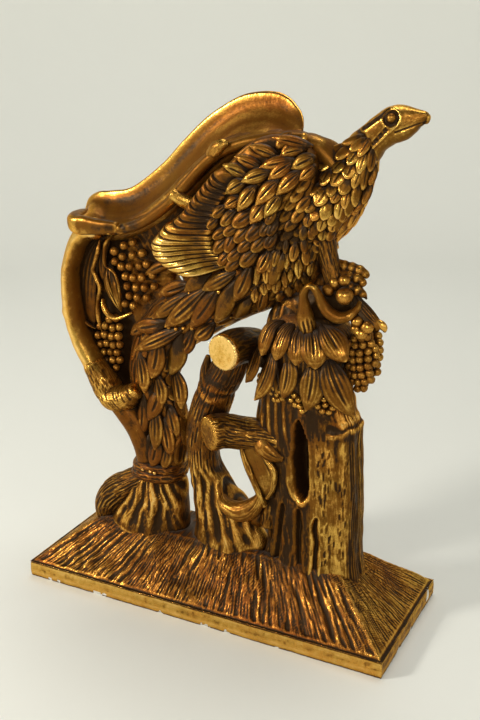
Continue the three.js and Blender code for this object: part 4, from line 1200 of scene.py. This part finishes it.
def under_layer(part):
    """Plain feathers, so that no bare wood shows between the carved ones."""
    for row in range(14):
        for k in range(11):
            r1, r2 = hashed(row, k, seed=225), hashed(row, k, seed=226)
            x = 30 + 15.5 * k + 7.5 * (row % 2) + 4 * r1
            z = 758 - 14 * row + 4 * r2
            if not inside(x, z, WING_OUTLINE) or not inside(x - 14, z - 14, WING_OUTLINE):
                continue
            if x - 14 < np.interp(z, WING_EDGE[1], WING_EDGE[0]):
                continue
            y = wing_front(x, z) + 4.5
            leaf(part, [(x + 6, y + 4, z + 8), (x - 4, y + 1, z - 4), (x - 13, y, z - 15)], 9.5, thick=4,
                 sink=7, peak=0.5, blunt=0.5, slit=0.8, rows=10, cols=9, lift=2, tone=0.2 + 0.3 * r1,
                 warm=0.5, dull=0.55 + shadow(x, z))


def wing():
    part = Part("wing")
    plate(part, WING_OUTLINE, -57, 0, 200, lambda q: shoulder_swell(q.x, q.z) - 1.5, dull=0.85, warm=0.5)
    feathers = Part("wing_feathers")
    under_layer(feathers)
    for k, (*ends, width) in enumerate(WING_LEAVES):
        r1, r2 = draws(k, 211)
        leaf(feathers, on_wing(ends, 0.16, (0.5, -5, -5), 1.2), width * 1.25, thick=6.0, sink=11, blunt=0.85,
             slit=2.2, slit_from=0.25, slit_to=0.75, veins=0.4, rows=30, cols=21, lift=1.5,
             tone=0.45 + 0.5 * r1, warm=0.1 + 0.7 * r2, aged=0.9, dull=0.08)
    for k, (*ends, width) in enumerate(WING_SCALES):
        r1, r2 = draws(k, 215)
        leaf(feathers, on_wing(ends, 0.35, (2, -3, -3.5), 0), width * 1.18, sink=11, peak=0.55, blunt=0.42,
             slit=1.0, slit_to=0.75, veins=0.5, vein_count=2, rows=22, cols=17, lift=2.5,
             tone=0.1 + 0.4 * r1, warm=0.3 + 0.4 * r2, dull=0.45 + 0.6 * shadow(*ends[2:]), aged=0.6)
    return [part, feathers]


# Spines of the collar's front leaves, each with its half width.
UPPER_LEAVES = [([(135, -52, 501), (121, -64, 495), (114, -71, 476), (111, -73, 452)], 9.5),
                ([(153, -50, 500), (141, -63, 490), (136, -71, 471), (134, -73, 449)], 11.0),
                ([(162, -52, 497), (161, -65, 483), (163, -72, 466), (164, -74, 446)], 11.0),
                ([(174, -50, 498), (184, -63, 483), (190, -71, 465), (193, -73, 445)], 13.5),
                ([(189, -48, 502), (208, -62, 492), (223, -68, 477), (236, -68, 460)], 12.5)]
LOWER_LEAVES = [([(98, -46, 462), (92, -56, 442), (85, -58, 419), (75, -54, 398)], 11.0),
                ([(119, -50, 456), (116, -60, 432), (107, -62, 404), (91, -59, 374)], 12.5),
                ([(141, -50, 450), (145, -61, 430), (143, -63, 410), (137, -61, 386)], 12.5),
                ([(179, -50, 448), (183, -61, 424), (180, -63, 399), (173, -61, 373)], 14.0),
                ([(197, -46, 454), (212, -56, 426), (226, -54, 397), (241, -46, 369)], 15.5)]
COLLAR_GRAPES = [(78, 397), (76, 388), (84, 391), (110, 389), (116, 381), (122, 388), (105, 380), (118, 373),
                 (126, 378), (111, 371), (147, 388), (154, 382), (142, 379), (149, 373), (156, 372),
                 (160, 365), (185, 394), (193, 399), (200, 392), (183, 385), (192, 388), (203, 384),
                 (184, 376), (194, 379), (204, 375), (212, 381), (190, 369), (199, 368)]
RIGHT_BUNCH = [(235, 484), (245, 486), (252, 488), (225, 472), (236, 474), (247, 476), (257, 478), (222, 461),
               (232, 462), (243, 464), (254, 467), (261, 470), (223, 450), (233, 451), (243, 454), (254, 456),
               (262, 460), (225, 439), (234, 440), (244, 442), (254, 445), (261, 448), (227, 428), (236, 429),
               (246, 431), (256, 434), (231, 418), (240, 419), (250, 421), (257, 424), (239, 408), (248, 410)]


# The two tiers of plain leaves round the sides and the back: top, foot, reach, start and angles.
TIERS = [(505, 452, 70, 0.35, (-24, 14, 52, 90, 128, 166, 204)),
         (470, 392, 60, 0.85, (-8, 34, 72, 108, 146, 186))]


def plain_leaves(part):
    for top, low, reach, start, angles in TIERS:
        bulge = 0.3 + 0.7 * start
        for degrees in angles:
            c, n = math.cos(math.radians(degrees)), math.sin(math.radians(degrees))
            spine = [(158 + reach * start * c, -8 + 0.72 * reach * start * n, top),
                     (158 + reach * bulge * c, -8 + 0.72 * reach * bulge * n, (top + low) / 2 + 10),
                     (158 + reach * c, -8 + 0.74 * reach * n, low)]
            leaf(part, spine, 16, out=(c, n, 0.25), thick=5, sink=9, peak=0.55, blunt=0.65, slit=1.6,
                 slit_to=0.9, veins=0.9, rows=26, cols=17, dull=0.35, aged=0.3)


def collar():
    part = Part("leaf_collar")
    # The domed root of the leaves, where they run together.
    tube(part, [(166, -16, 514, 18, 16), (164, -15, 506, 44, 38), (161, -13, 492, 60, 49),
                (157, -11, 468, 66, 53), (153, -9, 440, 64, 52), (151, -7, 408, 60, 44),
                (150, -6, 372, 57, 36)], 130, 3.0,
         relief=lambda q: -1.8 * gouges(q.a * 40, q.s, 4.6, 40, 219, 0.9) * step(6, 20, q.s), dull=0.62,
         warm=0.5, stroke=0.8)
    for k, (spine, width) in enumerate(UPPER_LEAVES):
        r1 = hashed(k, seed=221)
        dx = (spine[-1][0] - 162) / 75
        outs = [(0.2 * dx, -0.5, 0.85), (0.5 * dx, -0.85, 0.5), (0.6 * dx, -1, 0.2), (0.6 * dx, -1, -0.05)]
        leaf(part, spine, 1.5 * width, out=outs, thick=5, sink=9, peak=0.6, blunt=0.75, slit=1.7,
             slit_to=0.75, veins=1.2, vein_count=4, rows=44, cols=33, tone=0.5 + 0.4 * r1, warm=0.5,
             dull=0.16, aged=0.9, lift=3 + 1.5 * (k % 2))
    for k, (spine, width) in enumerate(LOWER_LEAVES):
        r1 = hashed(k, seed=223)
        leaf(part, spine, 1.4 * width, out=((spine[-1][0] - 160) * 0.008, -1, 0.1), thick=5, sink=10,
             peak=0.45, blunt=0.9, slit=1.2, slit_to=0.8, veins=0.8, vein_count=3, rows=40, cols=29, lift=3,
             tone=0.4 + 0.4 * r1, warm=0.4, dull=0.1, aged=0.9)
    plain_leaves(part)
    for k, (gx, gz) in enumerate(COLLAR_GRAPES):
        ball(part, (gx, -47 + 0.0042 * (gx - 160) ** 2, gz), 5.1, seed=k, tone=0.6, warm=0.45, dull=0.3)
    return [part]


TOES = [[(190, -22, 582, 12, 10), (208, -20, 580, 10, 9), (226, -18, 578, 8.5, 8.5), (238, -18, 575, 7, 8),
         (245, -18, 570, 4, 5)],
        [(200, -28, 570, 9, 9), (222, -26, 569, 8, 8), (236, -25, 566, 7, 7), (243, -25, 560, 4.5, 5)],
        [(204, -34, 562, 9, 9), (222, -30, 557, 8, 9), (236, -28, 551, 8, 8), (245, -28, 545, 4, 4),
         (248, -28, 541, 2, 2)]]
TENDRIL = [(170, -46, 484, 10, 10), (171, -52, 496, 13, 13), (169, -56, 512, 12.5, 12),
           (168, -58, 530, 8.5, 9), (168, -60, 545, 6, 7), (174, -61, 557, 5, 6), (182, -61, 559, 5, 6),
           (189, -59, 549, 5.5, 7), (194, -56, 536, 7, 8), (203, -53, 523, 8.5, 9), (216, -50, 516, 8.5, 9),
           (229, -45, 519, 7, 8), (238, -38, 528, 5, 6), (240, -32, 536, 3, 4)]


def foot(part):
    """The leg, the foot and its toes."""
    ball(part, (178, -10, 556), 17, dull=0.9)
    leg = [(172, -20, 640, 20, 20), (182, -22, 612, 17, 18), (190, -26, 590, 15, 15), (199, -30, 570, 14, 14),
           (206, -34, 556, 13, 12)]
    tube(part, leg, 60, 2.2, relief=bark(6, 30, 0.9, 233), dull=0.3, warm=0.45, stroke=0.6)
    for toe in TOES:
        tube(part, toe, 30, 1.8, relief=lambda q: 0.6 * np.cos(q.s / 11 * 2 * math.pi) * step(16, 22, q.s),
             dull=0.3, warm=0.4, stroke=0.5)
    berries(part, ((222, -44, 546, 12.5), (220, -40, 567, 8), (198, -44, 552, 8.5), (206, -40, 562, 8)),
            sides=30, rows=20, tone=0.6, warm=0.5, dull=0.28, stroke=0.3)


def turned(q):
    """Relief of the strokes that wind round the tendril's foot."""
    return -1.3 * gouges(q.a * 9, q.s, 4.5, 24, 235, 0.85) * step(40, 24, q.s) + 0.4 * noise(q.p, 9, 236)


def right_bunch(part):
    """The hanging leaf with its hooked tip, and the lobed knob over the bunch."""
    leaf(part, [(226, -24, 546), (240, -28, 528), (256, -28, 512), (268, -26, 503), (275, -24, 499)], 10.5,
         out=(0.45, -0.8, 0.45), thick=4, sink=7, peak=0.5, blunt=0.7, slit=1.2, veins=0.8, rows=40, cols=21,
         dull=0.4, warm=0.4, curl=2.5)
    tube(part, [(262, -25, 510, 4, 4), (270, -25, 505, 6, 5), (274, -25, 500, 5, 4), (275, -25, 496, 2, 2)],
         20, 1.8, dull=0.1, tone=0.6)
    berries(part, ((239, -40, 511, 8.5), (253, -37, 503, 9), (245, -38, 493, 9.5), (237, -38, 499, 8)),
            sides=28, rows=18, tone=0.65, warm=0.45, dull=0.3)
    tube(part, [(228, -22, 530, 12, 12), (238, -22, 504, 14, 12), (242, -18, 470, 15, 12),
                (242, -15, 436, 13, 11), (243, -15, 408, 6, 6)], 30, 4, dull=0.85)
    for k, (x, z) in enumerate(RIGHT_BUNCH):
        depth = 20 * math.sqrt(max(0.05, 1 - ((x - 242) / 22) ** 2)) * (0.75 + 0.25 * step(405, 430, z))
        tone = 0.35 + 0.4 * hashed(k, seed=241)
        for side in (-1, 1):
            ball(part, (x, -16 + side * depth, z + 2 * (side > 0)), 6.1, seed=k, tone=tone, warm=0.5,
                 dull=0.5)


def perch():
    part = Part("perch")
    tube(part, [(150, -14, 512, 38, 30), (184, -16, 522, 32, 27), (212, -18, 530, 24, 22),
                (230, -18, 530, 12, 14)], 70, 3, relief=bark(8, 40, 0.8, 231), dull=0.95, warm=0.4)
    foot(part)
    # The tendril that rises from the collar, turns over and runs along under the foot.
    tube(part, TENDRIL, 48, 1.6, relief=turned, warm=0.4, tone=0.62, stroke=0.3,
         dull=lambda q: 0.35 * step(22, 6, q.s) + 0.02)
    right_bunch(part)
    return [part]


def blurred(grid, radius):
    """Box blur, done twice along each axis."""
    for _ in range(2):
        for axis in range(3):
            size = 2 * radius + 1
            pad = [(0, 0)] * 3
            pad[axis] = (radius + 1, radius)
            total = np.cumsum(np.pad(grid, pad, mode="edge"), axis=axis, dtype=np.float32)
            n = grid.shape[axis]
            ahead = np.take(total, np.arange(size, n + size), axis=axis)
            behind = np.take(total, np.arange(n), axis=axis)
            grid = (ahead - behind) / size
    return grid


def vertex_normals(points, faces):
    normal = np.zeros_like(points)
    for f in faces:
        a, b = (0, 2) if f.shape[1] == 4 else (0, 1)
        c, d = (1, 3) if f.shape[1] == 4 else (0, 2)
        flat = np.cross(points[f[:, b]] - points[f[:, a]], points[f[:, d]] - points[f[:, c]])
        for k in range(f.shape[1]):
            for axis in range(3):
                normal[:, axis] += np.bincount(f[:, k], flat[:, axis], len(points))
    return unit(normal)


def relaxed(values, pairs, times):
    """Values averaged with their neighbours, several times over."""
    n = len(values)
    here, there = pairs.T
    degree = np.maximum(np.bincount(here, minlength=n), 1)[:, None]
    for _ in range(times):
        total = np.stack([np.bincount(here, values[there, k], n) for k in range(values.shape[1])], 1)
        values = 0.35 * values + 0.65 * total / degree
    return values


# The grid of cells that the painted occlusion shade is measured in: the size of a cell, its low corner and
# its counts.
CELL, LOW, CELLS = 2.6, np.array([-345.0, -150.0, -30.0]), np.array([266, 116, 330])


def filled(parts):
    """Which cells lie just under a surface or under the floor."""
    full = np.zeros(CELLS, np.float32)
    for part in parts:
        for depth in (0.8, 3.0, 5.5):
            cells = np.floor((part.v - part.n * depth - LOW) / CELL).astype(int)
            full[tuple(np.clip(cells, 0, CELLS - 1).T)] = 1
    full[:, :, :int(-LOW[2] / CELL)] = 1
    return full


def sampled(grid, place):
    """The grid's values at places between its cells."""
    q = np.clip((place - LOW) / CELL - 0.5, 0, CELLS - 2.001)
    i = np.floor(q).astype(int)
    total = 0.0
    for corner in np.ndindex(2, 2, 2):
        weight = np.prod(np.abs(1 - np.array(corner) - (q - i)), axis=1)
        total = total + weight * grid[tuple((i + corner).T)]
    return total


def neighbours(faces):
    """Pairs of vertices that share an edge, both ways round."""
    pairs = [np.stack([f[:, k], f[:, (k + 1) % f.shape[1]]], 1) for f in faces for k in range(f.shape[1])]
    pairs = np.concatenate(pairs)
    return np.concatenate([pairs, pairs[:, ::-1]])


def shade_marks(parts):
    """Edges and hollows of every vertex, for wear and for dirt, and how closely other surfaces and the floor
    shut it in, for painted occlusion shade.
    """
    for part in parts:
        part.v, part.m, part.g = (np.vstack(rows) for rows in (part.points, part.marks, part.grains))
        part.n = vertex_normals(part.v, part.faces)
    full = filled(parts)
    near, far = blurred(full, 1), blurred(full, 5)
    for part in parts:
        # Painted occlusion shade: a vertex is darker the more surfaces and floor lie close in front of it.
        part.shelter = 0.8 * sampled(near, part.v + part.n * 3.4)
        part.shelter += 0.95 * sampled(far, part.v + part.n * 11.0)
        pairs = neighbours(part.faces)
        soft = relaxed(part.v, pairs, 3)
        softer = relaxed(soft, pairs, 9)
        part.edge = np.sum((part.v - soft) * part.n, 1)
        part.swell = np.sum((part.v - softer) * part.n, 1)


class Graph:
    """Strings shader nodes together."""

    def __init__(self, material):
        material.use_nodes = True
        self.nodes, self.links = material.node_tree.nodes, material.node_tree.links
        self.nodes.clear()

    def put(self, socket, value):
        if isinstance(value, bpy.types.NodeSocket):
            self.links.new(value, socket)
        else:
            socket.default_value = value

    def attribute(self, name, output="Fac"):
        node = self.nodes.new("ShaderNodeAttribute")
        node.attribute_name = name
        return node.outputs[output]

    def math(self, kind, a, b=0.0, clamp=False):
        node = self.nodes.new("ShaderNodeMath")
        node.operation = kind
        node.use_clamp = clamp
        self.put(node.inputs[0], a)
        self.put(node.inputs[1], b)
        return node.outputs[0]

    def times(self, a, b):
        return self.math("MULTIPLY", a, b)

    def sum(self, *terms):
        """Sum of values, each with its weight and what is taken off it first."""
        total = 0.0
        for value, weight, off in terms:
            if off:
                value = self.math("SUBTRACT", value, off)
            total = self.math("ADD", total, self.times(value, weight))
        return total

    def range(self, value, low, high, to_low=0.0, to_high=1.0):
        node = self.nodes.new("ShaderNodeMapRange")
        node.interpolation_type = "SMOOTHSTEP"
        for socket, number in zip(node.inputs, (value, low, high, to_low, to_high)):
            self.put(socket, number)
        return node.outputs[0]

    def noise(self, scale, detail=3.0, rough=0.55, place=None):
        node = self.nodes.new("ShaderNodeTexNoise")
        self.links.new(place or self.nodes.new("ShaderNodeTexCoord").outputs["Object"], node.inputs["Vector"])
        node.inputs["Scale"].default_value = scale
        node.inputs["Detail"].default_value = detail
        node.inputs["Roughness"].default_value = rough
        return node.outputs["Fac"]

    def mix(self, factor, a, b):
        node = self.nodes.new("ShaderNodeMix")
        node.data_type = "RGBA"
        for socket, value in ((node.inputs["Factor"], factor), (node.inputs[6], a), (node.inputs[7], b)):
            self.put(socket, (*value, 1) if isinstance(value, tuple) else value)
        return node.outputs[2]

    def ramp(self, value, stops):
        node = self.nodes.new("ShaderNodeValToRGB")
        while len(node.color_ramp.elements) < len(stops):
            node.color_ramp.elements.new(0.5)
        for element, (place, colour) in zip(node.color_ramp.elements, stops):
            element.position = place
            element.color = (*colour, 1)
        self.links.new(value, node.inputs[0])
        return node.outputs[0]


# Colours of the gilding, each ramp from yellow to red.
GOLD = [(0.0, (0.66, 0.385, 0.075)), (0.4, (0.70, 0.34, 0.06)), (1.0, (0.64, 0.23, 0.035))]
VARNISH = [(0.0, (0.16, 0.070, 0.008)), (0.45, (0.16, 0.055, 0.006)), (1.0, (0.16, 0.042, 0.006))]
RUBBED_GOLD_AND_HIGHLIGHT, DARK_CRUST_AND_SHADE = (0.92, 0.59, 0.19), (0.020, 0.0085, 0.0025)
GREY_DUST, GESSO = (0.15, 0.115, 0.095), (0.74, 0.72, 0.66)


def gilded(g, hue, dirt_and_shade, film_and_shade, crust_and_shade):
    """Gold, brightest where it is rubbed and where a highlight is painted, under a film of varnish and a
    crust of dirt, both of which also carry painted shade.
    """
    gold, varnish = g.ramp(hue, GOLD), g.ramp(hue, VARNISH)
    gold = g.mix(g.range(dirt_and_shade, -0.15, -0.75, 0.0, 0.85), gold, RUBBED_GOLD_AND_HIGHLIGHT)
    return g.mix(crust_and_shade, g.mix(film_and_shade, gold, varnish), DARK_CRUST_AND_SHADE)


def roughened(g, specks, spots, lines, hairs, lime):
    """Fine relief of the surface, finer than the mesh."""
    bumped = g.nodes.new("ShaderNodeBump")
    bumped.inputs["Distance"].default_value = 0.0011
    bumped.inputs["Strength"].default_value = 0.55
    height = g.sum((specks, 0.35, 0), (spots, 0.9, 0), (lines, 1.5, 0), (hairs, 0.7, 0), (lime, -0.5, 0))
    g.put(bumped.inputs["Height"], height)
    return bumped.outputs[0]


def gilding():
    """Gold leaf under brown varnish, rubbed bright on the ridges, dirty in the hollows, chipped to gesso,
    with painted shade where surfaces shut each other in and painted shade and highlights from the marks.
    """
    material = bpy.data.materials.new("old_gilding")
    g = Graph(material)
    tone, warm, dull, chip, stroke = (g.attribute(k) for k in MARKS)
    edge, hollow, shelter, dust = (g.attribute(k) for k in ("edge", "hollow", "shelter", "dust"))
    grain = g.attribute("grain", "Vector")
    broad, spots, specks = g.noise(13, 4), g.noise(75, 4, 0.62), g.noise(330, 3, 0.65)
    fibre, hair = g.noise(0.42, 3, 0.6, grain), g.noise(1.1, 2, 0.6, grain)
    lines = g.times(g.math("SUBTRACT", fibre, 0.5), stroke)
    hairs = g.times(g.math("SUBTRACT", hair, 0.5), stroke)
    patchy = g.sum((spots, 0.75, 0.5), (broad, 0.7, 0.5))
    patchy = g.times(patchy, g.range(stroke, 0.05, 0.3, 0.4, 1.0))
    # Painted shade: occlusion and the shade painted into the dull marks darken the gold, along with dirt in
    # the hollows; painted highlights brighten it.
    dirt_and_shade = g.sum((hollow, 1.0, 0), (shelter, 1.3, 0), (dull, 0.85, 0), (edge, -0.62, 0), (tone, -0.30, 0.5),
                 (patchy, 1.0, 0), (specks, 0.55, 0.5), (lines, -2.0, 0), (hairs, -0.9, 0))
    dirt_and_shade = g.math("ADD", dirt_and_shade, 0.60)
    film_and_shade = g.range(dirt_and_shade, -0.24, 0.42)
    crust_and_shade = g.range(dirt_and_shade, 0.48, 0.98)
    hue = g.sum((warm, 0.85, 0.1), (broad, 1.1, 0.5), (spots, 0.5, 0.5))
    colour = gilded(g, hue, dirt_and_shade, film_and_shade, crust_and_shade)
    grey = g.times(g.times(dust, g.range(stroke, 0.05, 0.3, 0.2, 1.0)),
                  g.range(spots, 0.4, 0.6, 0.45, 1.0))
    colour = g.mix(grey, colour, GREY_DUST)
    lime = g.range(g.sum((chip, 1.0, 0), (spots, 0.5, 0.5)), 0.45, 0.58)
    colour = g.mix(lime, colour, GESSO)
    bsdf = g.nodes.new("ShaderNodeBsdfPrincipled")
    g.put(bsdf.inputs["Base Color"], colour)
    metal = g.times(g.range(crust_and_shade, 0.0, 1.0, 1.0, 0.3), g.range(lime, 0.2, 0.8, 1.0, 0.0))
    metal = g.times(metal, g.range(film_and_shade, 0.0, 1.0, 1.0, 0.62))
    g.put(bsdf.inputs["Metallic"], g.times(metal, g.range(grey, 0.0, 1.0, 1.0, 0.3)))
    rough = g.sum((film_and_shade, 0.14, 0), (specks, 0.22, 0.5), (spots, 0.16, 0.5), (lime, 0.4, 0), (grey, 0.2, 0))
    g.put(bsdf.inputs["Roughness"], g.math("ADD", rough, 0.24, clamp=True))
    bsdf.inputs["Specular IOR Level"].default_value = 0.2
    bsdf.inputs["Specular Tint"].default_value = (1.0, 0.74, 0.45, 1)
    g.put(bsdf.inputs["Normal"], roughened(g, specks, spots, lines, hairs, lime))
    out = g.nodes.new("ShaderNodeOutputMaterial")
    g.links.new(bsdf.outputs[0], out.inputs[0])
    return material


def make_object(part, material):
    mesh = bpy.data.meshes.new(part.name)
    sizes = np.concatenate([np.full(len(f), f.shape[1]) for f in part.faces])
    loops = np.concatenate([f.ravel() for f in part.faces])
    mesh.vertices.add(len(part.v))
    mesh.vertices.foreach_set("co", (part.v * MM).ravel())
    mesh.loops.add(len(loops))
    mesh.loops.foreach_set("vertex_index", loops.astype(np.int32))
    mesh.polygons.add(len(sizes))
    mesh.polygons.foreach_set("loop_start", np.concatenate([[0], np.cumsum(sizes)[:-1]]).astype(np.int32))
    mesh.polygons.foreach_set("loop_total", sizes.astype(np.int32))
    mesh.polygons.foreach_set("use_smooth", np.ones(len(sizes), bool))
    mesh.update(calc_edges=True)
    named = dict(zip(MARKS, part.m.T))
    named["edge"] = np.clip(part.edge / 0.30, 0, 1) * 0.7 + 0.6 * np.clip(part.swell / 1.3, 0, 1)
    named["hollow"] = np.clip(-part.swell / 1.0, 0, 1) + 0.5 * np.clip(-part.edge / 0.30, 0, 1)
    named["shelter"] = np.clip((part.shelter - 0.42) / 0.75, 0, 1)
    settled = np.clip(named["shelter"] * 1.6 + named["dull"] - 0.3, 0, 1)
    named["dust"] = np.clip(part.n[:, 2] - 0.45, 0, 1) * settled * 1.3
    for name, values in named.items():
        mesh.attributes.new(name, "FLOAT", "POINT").data.foreach_set("value", values.astype(np.float32))
    grain = mesh.attributes.new("grain", "FLOAT_VECTOR", "POINT")
    grain.data.foreach_set("vector", part.g.astype(np.float32).ravel())
    mesh.materials.append(material)
    piece = bpy.data.objects.new(part.name, mesh)
    bpy.context.scene.collection.objects.link(piece)
    return piece


def build():
    makers = (base, stump, branches, left_root, stem, scroll, panel, grapes, head, bird, tail, flight, wing,
              collar, perch)
    parts = [part for make in makers for part in make()]
    shade_marks(parts)
    material = gilding()
    for part in parts:
        piece = make_object(part, material)
        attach(piece, "root")
        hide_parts("eagle_carving")


def plain(name, colour, rough):
    material = bpy.data.materials.new(name)
    material.use_nodes = True
    bsdf = material.node_tree.nodes["Principled BSDF"]
    bsdf.inputs["Base Color"].default_value = (*colour, 1)
    bsdf.inputs["Roughness"].default_value = rough
    return material


def sweep():
    """A pale floor that curves up into a wall all round."""
    level, bend, height, sides = 2.2, 0.9, 3.6, 96
    profile = [(0.5 * level, 0.0), (level, 0.0)]
    profile += [(level + bend * math.sin(k * math.pi / 24), bend - bend * math.cos(k * math.pi / 24))
                for k in range(1, 13)]
    profile += [(level + bend, height)]
    turn = [2 * math.pi * k / sides for k in range(sides)]
    points = [(0.0, 0.0, 0.0)] + [(r * math.cos(a), r * math.sin(a), z) for r, z in profile for a in turn]
    faces = [(0, 1 + k, 1 + (k + 1) % sides) for k in range(sides)]
    for row in range(len(profile) - 1):
        first = 1 + row * sides
        faces += [(first + k, first + sides + k, first + sides + (k + 1) % sides, first + (k + 1) % sides)
                  for k in range(sides)]
    mesh = bpy.data.meshes.new("sweep")
    mesh.from_pydata(points, [], faces)
    mesh.polygons.foreach_set("use_smooth", [True] * len(faces))
    mesh.materials.append(plain("pale_paper", (0.78, 0.78, 0.73), 0.9))
    floor = bpy.data.objects.new("sweep", mesh)
    bpy.context.scene.collection.objects.link(floor)


def even_light():
    """A faint light from everywhere."""
    world = bpy.data.worlds.new("studio")
    world.use_nodes = True
    background = world.node_tree.nodes["Background"]
    background.inputs[0].default_value = (0.85, 0.9, 0.9, 1)
    background.inputs[1].default_value = 0.07
    bpy.context.scene.world = world


MIDDLE = (0.0, 0.0, 0.42)
# Each lamp: its place, what it points at, its size, its watts and its colour.
LAMPS = {"key": ((-1.7, -1.7, 1.5), MIDDLE, 0.45, 43, (1.0, 0.97, 0.90)),
         "front": ((0.95, -1.75, 1.35), MIDDLE, 0.3, 14, (1.0, 0.97, 0.91)),
         "fill": ((2.3, -1.0, 1.2), MIDDLE, 1.4, 5, (0.95, 0.97, 1.0)),
         "top": ((0.3, 0.6, 2.9), MIDDLE, 1.2, 21, (1.0, 0.99, 0.95)),
         "wall": ((-0.6, 1.3, 2.9), (-1.7, 2.4, 0.4), 1.2, 20, (0.97, 0.99, 1.0))}


def lamps():
    for name, (place, target, size, watts, colour) in LAMPS.items():
        data = bpy.data.lights.new(name, "AREA")
        data.shape, data.size, data.energy, data.color = "DISK", size, watts, colour
        light = bpy.data.objects.new(name, data)
        light.location = place
        light.rotation_euler = (Vector(target) - Vector(place)).to_track_quat("-Z", "Y").to_euler()
        bpy.context.scene.collection.objects.link(light)


# The camera that took the photograph: its turns in degrees, its lens, and its place in metres.
YAW, PITCH, ROLL = 28.2, 20.1, -1.3
SENSOR_WIDTH, LENS = 36, 50.3
EYE_PLACE = (0.720, -1.280, 0.941)


def camera():
    yaw, pitch, roll = (math.radians(k) for k in (YAW, PITCH, ROLL))
    # The view tips back by pitch from the front's turn by yaw, then rolls about its own axis.
    back = Vector((math.sin(yaw) * math.cos(pitch), -math.cos(yaw) * math.cos(pitch), math.sin(pitch)))
    right = (-back).cross(Vector((0, 0, 1))).normalized()
    up = right.cross(-back)
    tilted_right = math.cos(roll) * right + math.sin(roll) * up
    tilted_up = -math.sin(roll) * right + math.cos(roll) * up
    data = bpy.data.cameras.new("camera")
    data.sensor_width, data.lens = SENSOR_WIDTH, LENS
    data.clip_end = 20
    eye = bpy.data.objects.new("camera", data)
    rotation = Matrix((tilted_right, tilted_up, back)).transposed().to_4x4()
    eye.matrix_world = Matrix.Translation(Vector(EYE_PLACE)) @ rotation
    bpy.context.scene.collection.objects.link(eye)
    bpy.context.scene.camera = eye


build()
sweep()
even_light()
lamps()
camera()
bpy.context.scene.view_settings.view_transform = "Standard"
